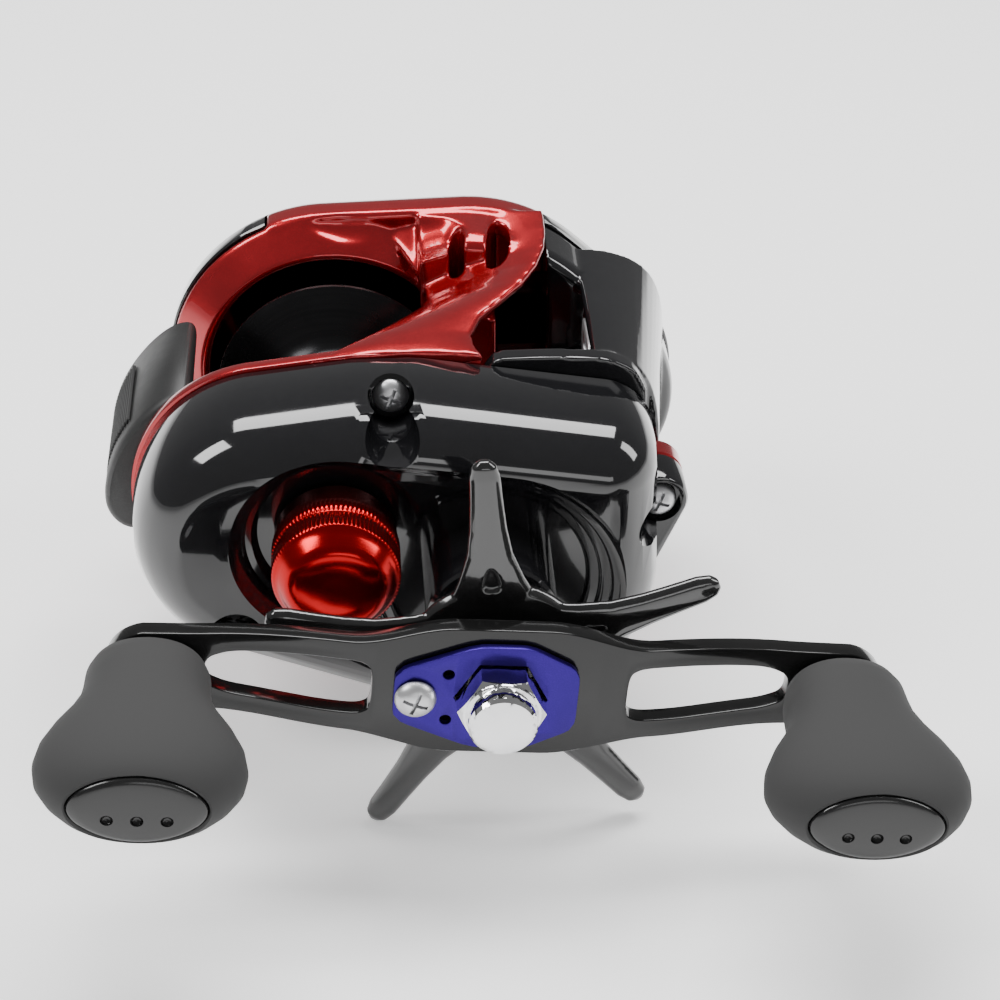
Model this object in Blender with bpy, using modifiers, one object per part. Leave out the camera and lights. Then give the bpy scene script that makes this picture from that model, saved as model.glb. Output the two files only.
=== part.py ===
"""Low-profile baitcasting reel, right-hand retrieve, as an assembly of its real pieces.

+X points towards the rod tip, +Y to the palm side, -Y to the handle side and +Z up.
The origin is the centre of the flat underside of the reel foot.
Sizes are in millimetres and become metres when a mesh is made. Places in the XZ plane
are counted from the spool's axis, and Y from the middle of the spool.
"""

import math

import bmesh
import bpy
from mathutils import Matrix, Vector

MM = 0.001

# ---- driving sizes ---------------------------------------------------------------------
SPOOL_X = -4.0                 # spool axis, ahead of the foot's middle
GAP = 0.3                      # between pieces that rest on each other
RUNNING = 0.08                 # radial clearance of a turning or sliding fit
PRESSED = 0.04                 # radial clearance of a piece that is fixed on its shaft

SPOOL_RADIUS = 17.0
SPOOL_OUTER = -11.7            # handle-side face of the spool
SPOOL_INNER = 11.9             # palm-side face of the spool
ARBOR_RADIUS = 9.0
SPOOL_SHAFT_RADIUS = 1.25
PIN_RADIUS = 0.5               # cross pin that the pinion's slot drives
PIN_PLACE = -15.1
ROTOR_END = 17.0

MODULE = 0.489
DRIVE_TEETH = 81
PINION_TEETH = 10
ADDENDUM = 0.72                # tooth height above the pitch circle, in modules
DEDENDUM = 0.98
DRIVE_ANGLE = math.radians(-21.4)
DRAG_RADIUS = 12.6
COG_MODULE = 0.6
DRIVE_COG_TEETH = 28
WORM_COG_TEETH = 20
WORM_ANGLE = math.radians(17.0)

WALL_OUT = -14.0               # handle-side frame wall
WALL_IN = -12.2
RING_IN = 10.6                 # palm-side frame ring
RING_OUT = 20.0
HOLE_CLEARANCE = 0.8           # round the spool, in the ring
DECK_CLEARANCE = 1.2           # under the spool
DECK_THICK = 2.4
FOOT_THICK = 3.1
LUG_RADIUS = 4.1
LUG_FACE = -16.1               # where the front lug meets the frame's boss
RED_EDGE = 0.4                 # how far the frame shows round the handle-side cover

COVER_OUT = -32.0              # outer face of the handle-side cover
COVER_WALL = 1.8
COVER_FLOOR = -25.2            # inner face of the bowl floors
COVER_ROUND = 3.4
PALM_OUT = 30.0
PALM_WALL = 2.6
PALM_ROUND = 6.0

BEARING_RADIUS = 4.0           # of the spool's two bearings
CAP_BOSS_RADIUS = 6.8
CAP_BOSS_END = -37.0
CAP_RADIUS = 8.65
CAP_END = -41.5
CAP_START = -28.5
CAP_BOWL = 13.0
DRIVE_BOSS_RADIUS = 9.0
DRIVE_BOSS_END = -38.0
DRIVE_BOWL = 17.0
HOUSING_BORE = 6.6
SLEEVE_RADIUS = 4.08           # of the sleeve that the one-way bearing grips
WALL_BEARING_RADIUS = 4.5

SHAFT_RADIUS = 3.0
SHAFT_THREAD = 2.4
SHAFT_SHOULDER = -50.6
SHAFT_END = -59.6
SHAFT_START = -12.6

STAR_RADIUS = 31.0
STAR_HUB = 12.0
STAR_OUT = -48.0
STAR_THICK = 2.6
STAR_BOSS_END = -41.0
STAR_ARMS = 5
STAR_ANGLE = math.radians(93.0)

HANDLE_REACH = 45.0            # drive axis to knob axis
HANDLE_TILT = math.radians(-4.6)
HANDLE_OUT = -53.8
HANDLE_THICK = 2.6
HANDLE_SWEEP = 2.8             # how far the arm ends lie nearer the body
RETAINER_THICK = 1.0
NUT_ACROSS = 10.0
NUT_HEIGHT = 3.5
NUT_CAP_RADIUS = 4.5
NUT_END = -61.6

KNOB_LENGTH = 27.4
KNOB_SHAFT_RADIUS = 2.0
KNOB_BUSH_RADIUS = 3.4
KNOB_CAP_HALF = (8.5, 4.9)
KNOB_CAP_THICK = 1.6

THUMB_TRAVEL = 4.0
THUMB_LUG_RADIUS = 1.6
YOKE_OUT = -17.6
YOKE_IN = -16.2
POST_RADIUS = 0.8
POST_OFFSET = 8.0
WORM_RADIUS = 2.4
GUIDE_HEIGHT = 13.6             # T guide, from its pivot
SCREW_SHANK = 1.0
SCREW_HEAD = 2.5
DIAL_RADIUS = 10.6
DIAL_STEM = 1.5
DIAL_SUNK = 1.1                # how deep the dial lies in the palm-side cover

FOOT_LENGTH = 60.0
FOOT_WIDTH = 14.6

# ---- places that follow from them ------------------------------------------------------
RING_HOLE = SPOOL_RADIUS + HOLE_CLEARANCE
DECK_TOP = -(SPOOL_RADIUS + DECK_CLEARANCE)
DECK_BOTTOM = DECK_TOP - DECK_THICK
SPOOL_Z = FOOT_THICK + GAP - DECK_BOTTOM   # spool axis, above the foot's underside
PALM_FLOOR = PALM_OUT - PALM_WALL
GEAR_TIP = MODULE * (DRIVE_TEETH / 2 + ADDENDUM)
CENTRE_DISTANCE = MODULE * (DRIVE_TEETH + PINION_TEETH) / 2
DRIVE = (CENTRE_DISTANCE * math.cos(DRIVE_ANGLE), CENTRE_DISTANCE * math.sin(DRIVE_ANGLE))
COG_DISTANCE = COG_MODULE * (DRIVE_COG_TEETH + WORM_COG_TEETH) / 2
WORM = (DRIVE[0] + COG_DISTANCE * math.cos(WORM_ANGLE), DRIVE[1] + COG_DISTANCE * math.sin(WORM_ANGLE))
CHEEK_FRONT = WORM[0] + 9.4    # where the nose's palm-side cheek begins in front of the ring
SPOOL = (0.0, 0.0)
GUIDE_PIVOT = (WORM[0] + 2.2, WORM[1] + 5.0)
GUIDE_BAR = (WORM[0] - 0.4, WORM[1] - 5.6)
FOOT_X = -SPOOL_X              # the foot's middle, from the spool axis
LUG_ANGLE = math.radians(18.1254)
LUG_REACH = GEAR_TIP + 4.975    # drive axis to the front lug
LUG = (DRIVE[0] + LUG_REACH * math.cos(LUG_ANGLE), DRIVE[1] + LUG_REACH * math.sin(LUG_ANGLE))
THUMB_LUG = (-SPOOL_RADIUS - 7.0, 1.0)

# Rounded outlines are hulls of circles: (x, z, radius) from the spool axis.
HANDLE_SIDE = (
    (-8.5, -1.5, SPOOL_RADIUS + 2.5),
    (4.0, 0.5, SPOOL_RADIUS + 2.0),
    (10.0, 1.5, SPOOL_RADIUS + 1.0),
    (DRIVE[0], DRIVE[1], GEAR_TIP + 3.8434),
    (WORM[0] + 1.5138, WORM[1] + 10.9081, 8.3),
)
PALM_SIDE = (
    (0.0, 0.0, SPOOL_RADIUS + 7.3),
    (20.0, 1.5, SPOOL_RADIUS + 6.3),
    (WORM[0] - 1.5, WORM[1] + 0.9, 17.8),
    (15.0, -9.0, SPOOL_RADIUS + 4.0),
)
PALM_RING = (
    (0.0, 0.0, SPOOL_RADIUS + 7.0),
    (19.0, 1.2, SPOOL_RADIUS + 6.0),
    (24.0, -6.0, SPOOL_RADIUS),
)
COVER_SCREWS = {
    "cover_screw_top": (8.0, SPOOL_RADIUS - 0.8),
    "cover_screw_low": (-14.0, -13.5),
    "cover_screw_front": LUG,
}

COLOURS = {
    "red": ((0.42, 0.008, 0.015), 0.25, 0.85),
    "black_gloss": ((0.008, 0.008, 0.009), 0.12, 0.0),
    "black_satin": ((0.015, 0.015, 0.016), 0.35, 0.6),
    "rubber": ((0.02, 0.02, 0.021), 0.75, 0.0),
    "purple": ((0.07, 0.02, 0.36), 0.3, 0.8),
    "chrome": ((0.75, 0.75, 0.76), 0.08, 1.0),
    "steel": ((0.55, 0.55, 0.56), 0.3, 1.0),
    "brass": ((0.6, 0.42, 0.14), 0.3, 1.0),
    "aluminium": ((0.6, 0.61, 0.62), 0.35, 1.0),
    "carbon": ((0.03, 0.03, 0.03), 0.6, 0.0),
}


# ---- tools -----------------------------------------------------------------------------
def clear_scene():
    for obj in list(bpy.data.objects):
        bpy.data.objects.remove(obj, do_unlink=True)


def collection(name):
    made = bpy.data.collections.new(name)
    bpy.context.scene.collection.children.link(made)
    return made


def material(name):
    """One Principled material for a colour name, made once."""
    found = bpy.data.materials.get(name)
    if found:
        return found
    colour, roughness, metallic = COLOURS[name]
    made = bpy.data.materials.new(name)
    made.use_nodes = True
    shader = made.node_tree.nodes["Principled BSDF"]
    shader.inputs["Base Color"].default_value = (*colour, 1.0)
    shader.inputs["Roughness"].default_value = roughness
    shader.inputs["Metallic"].default_value = metallic
    return made


def at(x, y, z):
    """World place of a point counted from the spool's axis."""
    return Vector(((SPOOL_X + x) * MM, y * MM, (SPOOL_Z + z) * MM))


def facing(direction):
    """Rotation that turns a shape's own +Z to the handle side, or leaves it up."""
    turns = {"handle": math.pi / 2, "up": 0.0}
    return Matrix.Rotation(turns[direction], 4, "X")


def add(name, mesh, colour, place, direction="handle"):
    """Put a mesh in the scene as a finished part, or as a cutter when colour is None."""
    obj = bpy.data.objects.new(name, mesh)
    if colour:
        PARTS.objects.link(obj)
        mesh.materials.append(material(colour))
        mesh.shade_smooth()
        mesh.set_sharp_from_angle(angle=math.radians(32))
    else:
        CUTTERS.objects.link(obj)
        obj.hide_render = True
        obj.display_type = "WIRE"
    obj.matrix_world = Matrix.Translation(place) @ facing(direction)
    return obj


def evaluated_mesh(obj):
    bpy.context.view_layer.update()
    graph = bpy.context.evaluated_depsgraph_get()
    return bpy.data.meshes.new_from_object(obj.evaluated_get(graph))


def outward(mesh, flatten=False):
    """Weld a mesh and turn its faces outwards; flatten also merges coplanar triangles."""
    shape = bmesh.new()
    shape.from_mesh(mesh)
    bmesh.ops.remove_doubles(shape, verts=shape.verts, dist=1e-6)
    if flatten:
        bmesh.ops.dissolve_limit(shape, angle_limit=1e-4, verts=shape.verts, edges=shape.edges)
    bmesh.ops.recalc_face_normals(shape, faces=shape.faces)
    shape.to_mesh(mesh)
    shape.free()
    return mesh


def plate(name, outlines, y_out, y_in, colour, centre=SPOOL, bevel=0.0, segments=2):
    """A flat outline in XZ, counted from the centre, extruded from y_out to y_in."""
    data = bpy.data.curves.new(name, "CURVE")
    data.dimensions = "2D"
    data.fill_mode = "BOTH"
    data.extrude = (y_in - y_out) / 2 * MM
    for outline in outlines:
        spline = data.splines.new("POLY")
        spline.points.add(len(outline) - 1)
        for point, (x, z) in zip(spline.points, outline):
            point.co = (x * MM, z * MM, 0.0, 1.0)
        spline.use_cyclic_u = True
    curve = bpy.data.objects.new(name + "_outline", data)
    bpy.context.scene.collection.objects.link(curve)
    mesh = evaluated_mesh(curve)
    bpy.data.objects.remove(curve, do_unlink=True)
    outward(mesh, flatten=True)
    obj = add(name, mesh, colour, at(centre[0], (y_in + y_out) / 2, centre[1]))
    if bevel:
        rounding(obj, bevel, segments)
    return obj


def rounding(obj, width, segments=2):
    modifier = obj.modifiers.new("rounding", "BEVEL")
    modifier.width = width * MM
    modifier.segments = segments
    modifier.limit_method = "ANGLE"
    modifier.angle_limit = math.radians(50)


def turned(name, profile, colour, centre=SPOOL, steps=16, direction="handle"):
    """A profile of (radius, y) turned about the Y axis; y runs from the outer end inwards.

    With direction "up" the second number is the height, given from the top down.
    """
    sign = -1.0 if direction == "handle" else 1.0
    outline = bpy.data.meshes.new(name)
    shape = bmesh.new()
    verts = [shape.verts.new((radius * MM, 0.0, sign * along * MM)) for radius, along in profile]
    edges = list(zip(verts, verts[1:]))
    if profile[0][0] > 0.0:
        edges.append((verts[-1], verts[0]))
    for pair in edges:
        shape.edges.new(pair)
    shape.to_mesh(outline)
    shape.free()
    form = bpy.data.objects.new(name + "_profile", outline)
    bpy.context.scene.collection.objects.link(form)
    screw = form.modifiers.new("turning", "SCREW")
    screw.steps = steps
    screw.render_steps = steps
    screw.use_merge_vertices = True
    screw.merge_threshold = 1e-6
    mesh = outward(evaluated_mesh(form))
    bpy.data.objects.remove(form, do_unlink=True)
    return add(name, mesh, colour, at(centre[0], 0.0, centre[1]), direction)


def ring(name, bore, radius, y_out, y_in, colour, centre=SPOOL, steps=16):
    profile = [(bore, y_out), (radius, y_out), (radius, y_in), (bore, y_in)]
    return turned(name, profile, colour, centre, steps)


def rod(name, radius, y_out, y_in, colour, centre=SPOOL, steps=12):
    profile = [(0.0, y_out), (radius, y_out), (radius, y_in), (0.0, y_in)]
    return turned(name, profile, colour, centre, steps)


def box(name, low, high, colour=None):
    """A box between two corners (x, y, z)."""
    mesh = bpy.data.meshes.new(name)
    shape = bmesh.new()
    bmesh.ops.create_cube(shape, size=1.0)
    size = [(b - a) * MM for a, b in zip(low, high)]
    bmesh.ops.scale(shape, vec=(size[0], size[2], size[1]), verts=shape.verts)
    shape.to_mesh(mesh)
    shape.free()
    middle = [(a + b) / 2 for a, b in zip(low, high)]
    return add(name, mesh, colour, at(*middle))


def combine(target, tool, operation):
    modifier = target.modifiers.new(operation.lower(), "BOOLEAN")
    modifier.operation = operation
    modifier.object = tool
    modifier.solver = "EXACT"


def cut(target, *tools):
    for tool in tools:
        combine(target, tool, "DIFFERENCE")


def join(target, *tools):
    for tool in tools:
        combine(target, tool, "UNION")


def hull(circles, grow=0.0, count=40):
    """Outline round a set of circles: for each direction, the point that reaches furthest."""
    points = []
    for index in range(count):
        angle = 2 * math.pi * index / count
        nx, nz = math.cos(angle), math.sin(angle)
        x, z, radius = max(circles, key=lambda c: c[0] * nx + c[1] * nz + c[2])
        points.append((x + (radius + grow) * nx, z + (radius + grow) * nz))
    return points


def capsule(start, end, radius, count=16):
    return hull(((start[0], start[1], radius), (end[0], end[1], radius)), count=count)


def circle(radius, centre=(0.0, 0.0), count=20):
    return hull(((centre[0], centre[1], radius),), count=count)


def gear_outline(teeth, module, phase, flank_points, thin=0.1):
    """Involute teeth about (0, 0) with the first tooth centred on the phase angle."""
    pitch = module * teeth / 2
    base = pitch * math.cos(math.radians(20))
    root = pitch - DEDENDUM * module
    tip = pitch + ADDENDUM * module

    def involute(radius):
        angle = math.acos(min(1.0, base / radius))
        return math.tan(angle) - angle

    half_at_pitch = math.pi / (2 * teeth) * (1 - thin)
    radii = [root + (tip - root) * index / (flank_points - 1) for index in range(flank_points)]
    halves = [half_at_pitch + involute(pitch) - involute(max(radius, base)) for radius in radii]
    points = []
    for tooth in range(teeth):
        middle = phase + 2 * math.pi * tooth / teeth
        flank = list(zip(radii, halves))
        for radius, half in flank:
            points.append((radius * math.cos(middle - half), radius * math.sin(middle - half)))
        for radius, half in reversed(flank):
            points.append((radius * math.cos(middle + half), radius * math.sin(middle + half)))
    return points


def from_worm(points):
    """Points counted from the worm's axis, moved to where the spool's axis is zero."""
    return [(WORM[0] + x, WORM[1] + z) for x, z in points]


def behind_spool(points):
    """Points counted back from the spool's rear rim."""
    return [(x - SPOOL_RADIUS, z) for x, z in points]


def smooth_step(value, start, end):
    share = min(1.0, max(0.0, (value - start) / (end - start)))
    return share * share * (3 - 2 * share)


# ---- frame and covers ------------------------------------------------------------------
def make_frame():
    """One casting: handle-side wall, palm-side ring, deck, bars, thumb rest and lug boss."""
    frame = plate("frame", [hull(HANDLE_SIDE, RED_EDGE)], WALL_OUT, WALL_IN, "red")
    nose_foot = WORM[1] + 9.408
    cut(frame, box("nose_step", (WORM[0] - 13.986, WALL_OUT - 1, nose_foot), (60, WALL_IN + 1, 30)))
    ring_wall = plate("ring_wall", [hull(PALM_RING)], RING_IN, RING_OUT, None, bevel=1.2)
    cut(ring_wall, turned("ring_hole", [
        (0.0, RING_IN - 1), (RING_HOLE + 2.2, RING_IN - 1), (RING_HOLE, RING_IN + 1.4),
        (RING_HOLE, RING_OUT + 1), (0.0, RING_OUT + 1)], None, steps=32))
    cut(ring_wall, box("ring_step", (WORM[0] - 3.686, RING_IN - 1, nose_foot - 0.5),
                       (60, RING_OUT + 1, 30)))
    cut(ring_wall, box("ring_front", (CHEEK_FRONT - GAP, RING_IN - 1, -60), (90, RING_OUT + 1, 60)))
    join(frame, ring_wall)
    front = WORM[0] + 4.514
    deck = [(-SPOOL_RADIUS, DECK_BOTTOM), (front, DECK_BOTTOM), (front, DECK_TOP + 2.7),
            (front - 5.5, DECK_TOP + 2.7), (front - 8.0, DECK_TOP), (4.0 - SPOOL_RADIUS, DECK_TOP),
            (1.0 - SPOOL_RADIUS, DECK_TOP + 3.8), (-3.5 - SPOOL_RADIUS, DECK_TOP + 3.8)]
    join(frame, plate("deck", [deck], WALL_IN - 0.2, RING_IN + 0.2, None))
    join(frame, make_thumb_rest())
    boss = plate("lug_boss", [circle(LUG_RADIUS, LUG)], LUG_FACE + GAP, WALL_IN - 0.5, None)
    cut(boss, plate("lug_boss_trim", [hull(HANDLE_SIDE, RED_EDGE + 0.15)], LUG_FACE - 1, WALL_OUT + 0.3,
                    None))
    join(frame, boss)
    cut(frame, rod("pinion_hole", 4.2, WALL_OUT - 1, WALL_IN + 1, None, steps=16))
    cut(frame, rod("drive_seat", WALL_BEARING_RADIUS + RUNNING, WALL_OUT - 1, WALL_IN + 1, None, DRIVE, 16))
    cut(frame, rod("worm_seat", WORM_RADIUS + RUNNING, -17, 13.6, None, WORM))
    cut(frame, rod("bar_seat", 1.0 + RUNNING, WALL_OUT - 1, 13.6, None, GUIDE_BAR, 12))
    slot = capsule(THUMB_LUG, (THUMB_LUG[0], THUMB_LUG[1] - THUMB_TRAVEL), THUMB_LUG_RADIUS + GAP)
    cut(frame, plate("lug_slot", [slot], WALL_OUT - 1, WALL_IN + 1, None))
    for name, place in COVER_SCREWS.items():
        cut(frame, rod(name + "_thread", SCREW_SHANK + RUNNING, -17, WALL_IN + 1, None, place, 12))
    for name, x in foot_screw_places().items():
        bore = SCREW_SHANK + RUNNING
        thread = [(0, 0), (bore, 0), (bore, -SPOOL_Z), (0, -SPOOL_Z)]
        cut(frame, turned(name + "_thread", thread, None, (x, 0), 12, "up"))


def make_thumb_rest():
    """Sloping bridge from the ring to the handle-side wall, with two windows."""
    outline = [(-3, -13.2), (9, -8), (13, -2), (12.5, 4), (9, 11.5), (30.5, 11.5), (30, 4), (27, -2.5),
               (22, -6.5), (19.8, -9.5), (20.2, -13.2)]
    near = [(15, 5), (19.5, 4.5), (19, 9), (14.5, 9)]
    far = [(22, 4), (26, 5), (26.5, 9), (21.5, 9)]
    rest = plate("thumb_rest_form", [outline, near, far], 0, 2.8, None)
    slope = math.atan2(4.6, 24.7)
    height = SPOOL_RADIUS + 4.0
    rest.matrix_world = Matrix.Translation(at(0, 0, height)) @ Matrix.Rotation(slope, 4, "X")
    return rest


def foot_screw_places():
    return {"foot_screw_rear": FOOT_X - 12.0, "foot_screw_front": FOOT_X + 12.0}


def make_foot():
    """Long thin foot that lies in the rod's reel seat, thicker in the middle."""
    half = FOOT_LENGTH / 2
    top = DECK_BOTTOM - GAP
    side = [(FOOT_X - half, -SPOOL_Z), (FOOT_X + half, -SPOOL_Z), (FOOT_X + half, -SPOOL_Z + 1.2),
            (FOOT_X + half - 14, top), (FOOT_X - half + 14, top), (FOOT_X - half, -SPOOL_Z + 1.2)]
    foot = plate("reel_foot", [side], -FOOT_WIDTH / 2, FOOT_WIDTH / 2, "aluminium")
    for name, x in foot_screw_places().items():
        bore = SCREW_SHANK + RUNNING
        bottom = DECK_BOTTOM - 2.6
        hole = [(0, DECK_TOP - 0.8), (bore, DECK_TOP - 0.8), (bore, bottom), (0, bottom)]
        cut(foot, turned(name + "_hole", hole, None, (x, 0), 12, "up"))
        head = DECK_TOP + GAP
        screw = [(0, head + 0.7), (1.6, head + 0.7), (2.0, head), (SCREW_SHANK, head),
                 (SCREW_SHANK, bottom + GAP), (0, bottom + GAP)]
        turned(name, screw, "steel", (x, 0), 12, "up")


def make_handle_side_cover():
    """Gear cover with a bowl round the cast control cap and a stepped bowl round the drive shaft."""
    cover = plate("handle_side_cover", [hull(HANDLE_SIDE)], COVER_OUT, WALL_OUT - GAP, "black_gloss",
                  bevel=COVER_ROUND, segments=2)
    cut(cover, plate("cover_back", [hull(HANDLE_SIDE, 6)], WALL_OUT - GAP - 0.2 - COVER_ROUND, -9, None))
    rim = plate("cover_rim", [hull(HANDLE_SIDE)], WALL_OUT - GAP - 0.4 - COVER_ROUND, WALL_OUT - GAP, None)
    join(cover, rim)
    lug = [hull(((LUG[0], LUG[1], LUG_RADIUS), (LUG[0] - 6.6, LUG[1] - 2.7, 4),
                 (LUG[0] - 2.1, LUG[1] - 8.7, 2.5)),
                count=24)]
    join(cover, plate("cover_lug", lug, -22, LUG_FACE, None, bevel=0.6, segments=1))
    bowl_floor = COVER_FLOOR - COVER_WALL
    cut(cover, plate("gear_pocket", [hull(HANDLE_SIDE, -COVER_WALL)], COVER_FLOOR, -13, None))
    cut(cover, rod("cap_bowl", CAP_BOWL, COVER_OUT - 1, bowl_floor, None, steps=24))
    first, second = COVER_OUT + 2.4, COVER_OUT + 3.8
    steps = [(0, COVER_OUT - 1), (DRIVE_BOWL, COVER_OUT - 1), (DRIVE_BOWL, first),
             (DRIVE_BOWL - 1.8, first), (DRIVE_BOWL - 1.8, second), (DRIVE_BOWL - 3.6, second),
             (DRIVE_BOWL - 3.6, bowl_floor - 0.05), (0, bowl_floor - 0.05)]
    cut(cover, turned("drive_bowl", steps, None, DRIVE, 28))
    cog_room = COG_MODULE * WORM_COG_TEETH / 2 + 1.2
    cut(cover, rod("cog_pocket", cog_room, -18.0, -13, None, WORM, 24))
    for name, place in COVER_SCREWS.items():
        if name != "cover_screw_front":
            join(cover, rod(name + "_post", SCREW_HEAD + 2.1, -26, -14.4, None, place, 16))
    join(cover, rod("cap_boss", CAP_BOSS_RADIUS, CAP_BOSS_END, COVER_FLOOR - 0.4, None, steps=24))
    join(cover, rod("drive_boss", DRIVE_BOSS_RADIUS, DRIVE_BOSS_END, COVER_FLOOR - 0.5, None, DRIVE, 24))
    bore, seat = BEARING_RADIUS + RUNNING, CAP_BOSS_END + 6.0
    cut(cover, turned("cap_bore", [(0, CAP_BOSS_END - 1), (bore, CAP_BOSS_END - 1), (bore, seat),
                                   (2.2, seat), (2.2, COVER_FLOOR + 1), (0, COVER_FLOOR + 1)], None,
                      steps=16))
    cut(cover, rod("drive_bore", HOUSING_BORE, DRIVE_BOSS_END - 1, COVER_FLOOR + 1, None, DRIVE, 20))
    for name, place in COVER_SCREWS.items():
        seat = screw_seat(name)
        recess = SCREW_HEAD + 0.7
        cut(cover, turned(name + "_recess", [(0, COVER_OUT - 1), (recess, COVER_OUT - 1), (recess, seat),
                                             (SCREW_SHANK + RUNNING, seat), (SCREW_SHANK + RUNNING, -13),
                                             (0, -13)],
                          None, place, 14))


def screw_seat(name):
    """Y of the face that a cover screw's head pulls against."""
    return {"cover_screw_front": -20.6}.get(name, -18.4)


def make_cover_screws():
    for name, place in COVER_SCREWS.items():
        seat = screw_seat(name) - GAP
        profile = [(0, seat - 1.5), (1.3, seat - 1.4), (2.2, seat - 0.9), (SCREW_HEAD, seat),
                   (SCREW_SHANK, seat), (SCREW_SHANK, WALL_IN - 0.3), (0, WALL_IN - 0.3)]
        turned(name, profile, "steel", place, 12)


def make_front_cover():
    """Black nose: cheeks beside the line well, a visor bar in front and a window for the line."""
    face = [(1.5, 21.8), (5.5, 21.3), (9.0, 18.5), (10.9, 12.9), (11.3, 4.9), (10.7, -4.1), (8.5, -11.1),
            (5.0, -14.1), (5.0, -10.7), (6.5, -8.6), (8.1, -3.6), (8.7, 4.9), (8.1, 11.9), (6.1, 16.5),
            (4.0, 18.7), (1.5, 19.3)]
    cover = plate("front_cover", [from_worm(face)], -11.9, RING_IN - GAP, "black_gloss")
    bend_start, bend_end = (WORM[0] + 1.5) * MM, (WORM[0] + 11.5) * MM
    for vertex in cover.data.vertices:
        forward = smooth_step(vertex.co.x, bend_start, bend_end)
        vertex.co.x += 0.13 * forward * (-vertex.co.z + 11.2 * MM)
    cheek = [(-13.7, 9.7), (8.5, 9.7), (8.9, 16.4), (7.0, 19.9), (3.5, 21.8), (-13.7, 22.5)]
    handle_cheek = plate("handle_cheek", [from_worm(cheek)], WALL_OUT - 0.1, -11.6, None)
    palm_cheek = plate("palm_cheek", [hull(PALM_SIDE, -0.4)], RING_IN - GAP - 0.4, RING_OUT, None,
                       bevel=1.0)
    back, front, foot = WORM[0] - 3.4, CHEEK_FRONT, WORM[1] + 9.2
    cut(palm_cheek, box("palm_cheek_back", (back - 80, 0, -60), (back, 40, 60)),
        box("palm_cheek_under", (back - 12, 0, -60), (front, 40, foot)),
        box("palm_cheek_low", (front - 1, 0, -60), (front + 20, 40, WORM[1] - 10.1)))
    join(cover, handle_cheek, palm_cheek)
    cut(cover, box("line_window", (WORM[0] + 2.5, -7.5, WORM[1] - 5.1), (WORM[0] + 25, 6.5, WORM[1] + 5.9)))


def make_palm_side_cover():
    cover = plate("palm_side_cover", [hull(PALM_SIDE, 0.2)], RING_OUT + GAP, PALM_OUT, "black_gloss")
    rounding(cover, 0.4, 1)
    trim = plate("palm_dome", [hull(PALM_SIDE, 0.3)], RING_OUT - 4, PALM_OUT + 0.02, None, bevel=PALM_ROUND,
                 segments=2)
    combine(cover, trim, "INTERSECT")
    cut(cover, plate("palm_pocket", [hull(PALM_SIDE, -3.2)], RING_OUT - 1, PALM_FLOOR, None, bevel=2.5,
                     segments=1))
    join(cover, ring("palm_boss", BEARING_RADIUS + RUNNING, 5.8, RING_OUT + 1.0, PALM_FLOOR + 0.2, None,
                     steps=16))
    stem, wide, seat = DIAL_STEM + RUNNING, DIAL_RADIUS + GAP, PALM_OUT - DIAL_SUNK - GAP
    recess = [(0, PALM_OUT - 5), (stem, PALM_OUT - 5), (stem, seat), (wide, seat), (wide, PALM_OUT + 1),
              (0, PALM_OUT + 1)]
    cut(cover, turned("dial_recess", recess, None, steps=24))


def make_front_details():
    """Pieces that guide the line: worm, its cog, the carriage, its bar and the flip-over T guide."""
    shaft = [(0, -17.4), (1.4, -17.4), (1.4, -15.6), (WORM_RADIUS, -15.6), (WORM_RADIUS, 13.2), (0, 13.2)]
    turned("worm_shaft", shaft, "steel", WORM, 16)
    worm_phase = WORM_ANGLE + math.pi + math.pi / WORM_COG_TEETH
    plate("worm_cog", [gear_outline(WORM_COG_TEETH, COG_MODULE, worm_phase, 2), circle(1.5, count=12)],
          -17.4, -16.2, "black_satin", WORM)
    rod("guide_bar", 1.0, -13.6, 13.2, "steel", GUIDE_BAR, 12)
    body = [(-3.4, -8.0), (2.2, -8.0), (3.4, -3.4), (3.6, 3.0), (-3.4, 3.0)]
    guide = plate("line_guide", [body], -4.0, 4.0, "black_satin", WORM, bevel=0.5, segments=1)
    pivot = (GUIDE_PIVOT[0] - WORM[0], GUIDE_PIVOT[1] - WORM[1])
    for side in (-1, 1):
        ear = sorted((side * 3.0, side * 4.0))
        join(guide, plate("guide_ear", [capsule((pivot[0], 2.0), pivot, 1.3, 16)], ear[0], ear[1], None,
                          WORM))
    cut(guide, rod("worm_way", WORM_RADIUS + RUNNING, -6, 6, None, WORM, 20))
    cut(guide, rod("bar_way", 1.0 + RUNNING, -6, 6, None, GUIDE_BAR, 12))
    cut(guide, rod("pin_way", 0.6 + 0.02, -6, 6, None, GUIDE_PIVOT, 12))
    rod("t_guide_pin", 0.58, -4.3, 4.3, "steel", GUIDE_PIVOT, 12)
    make_t_guide()


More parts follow.
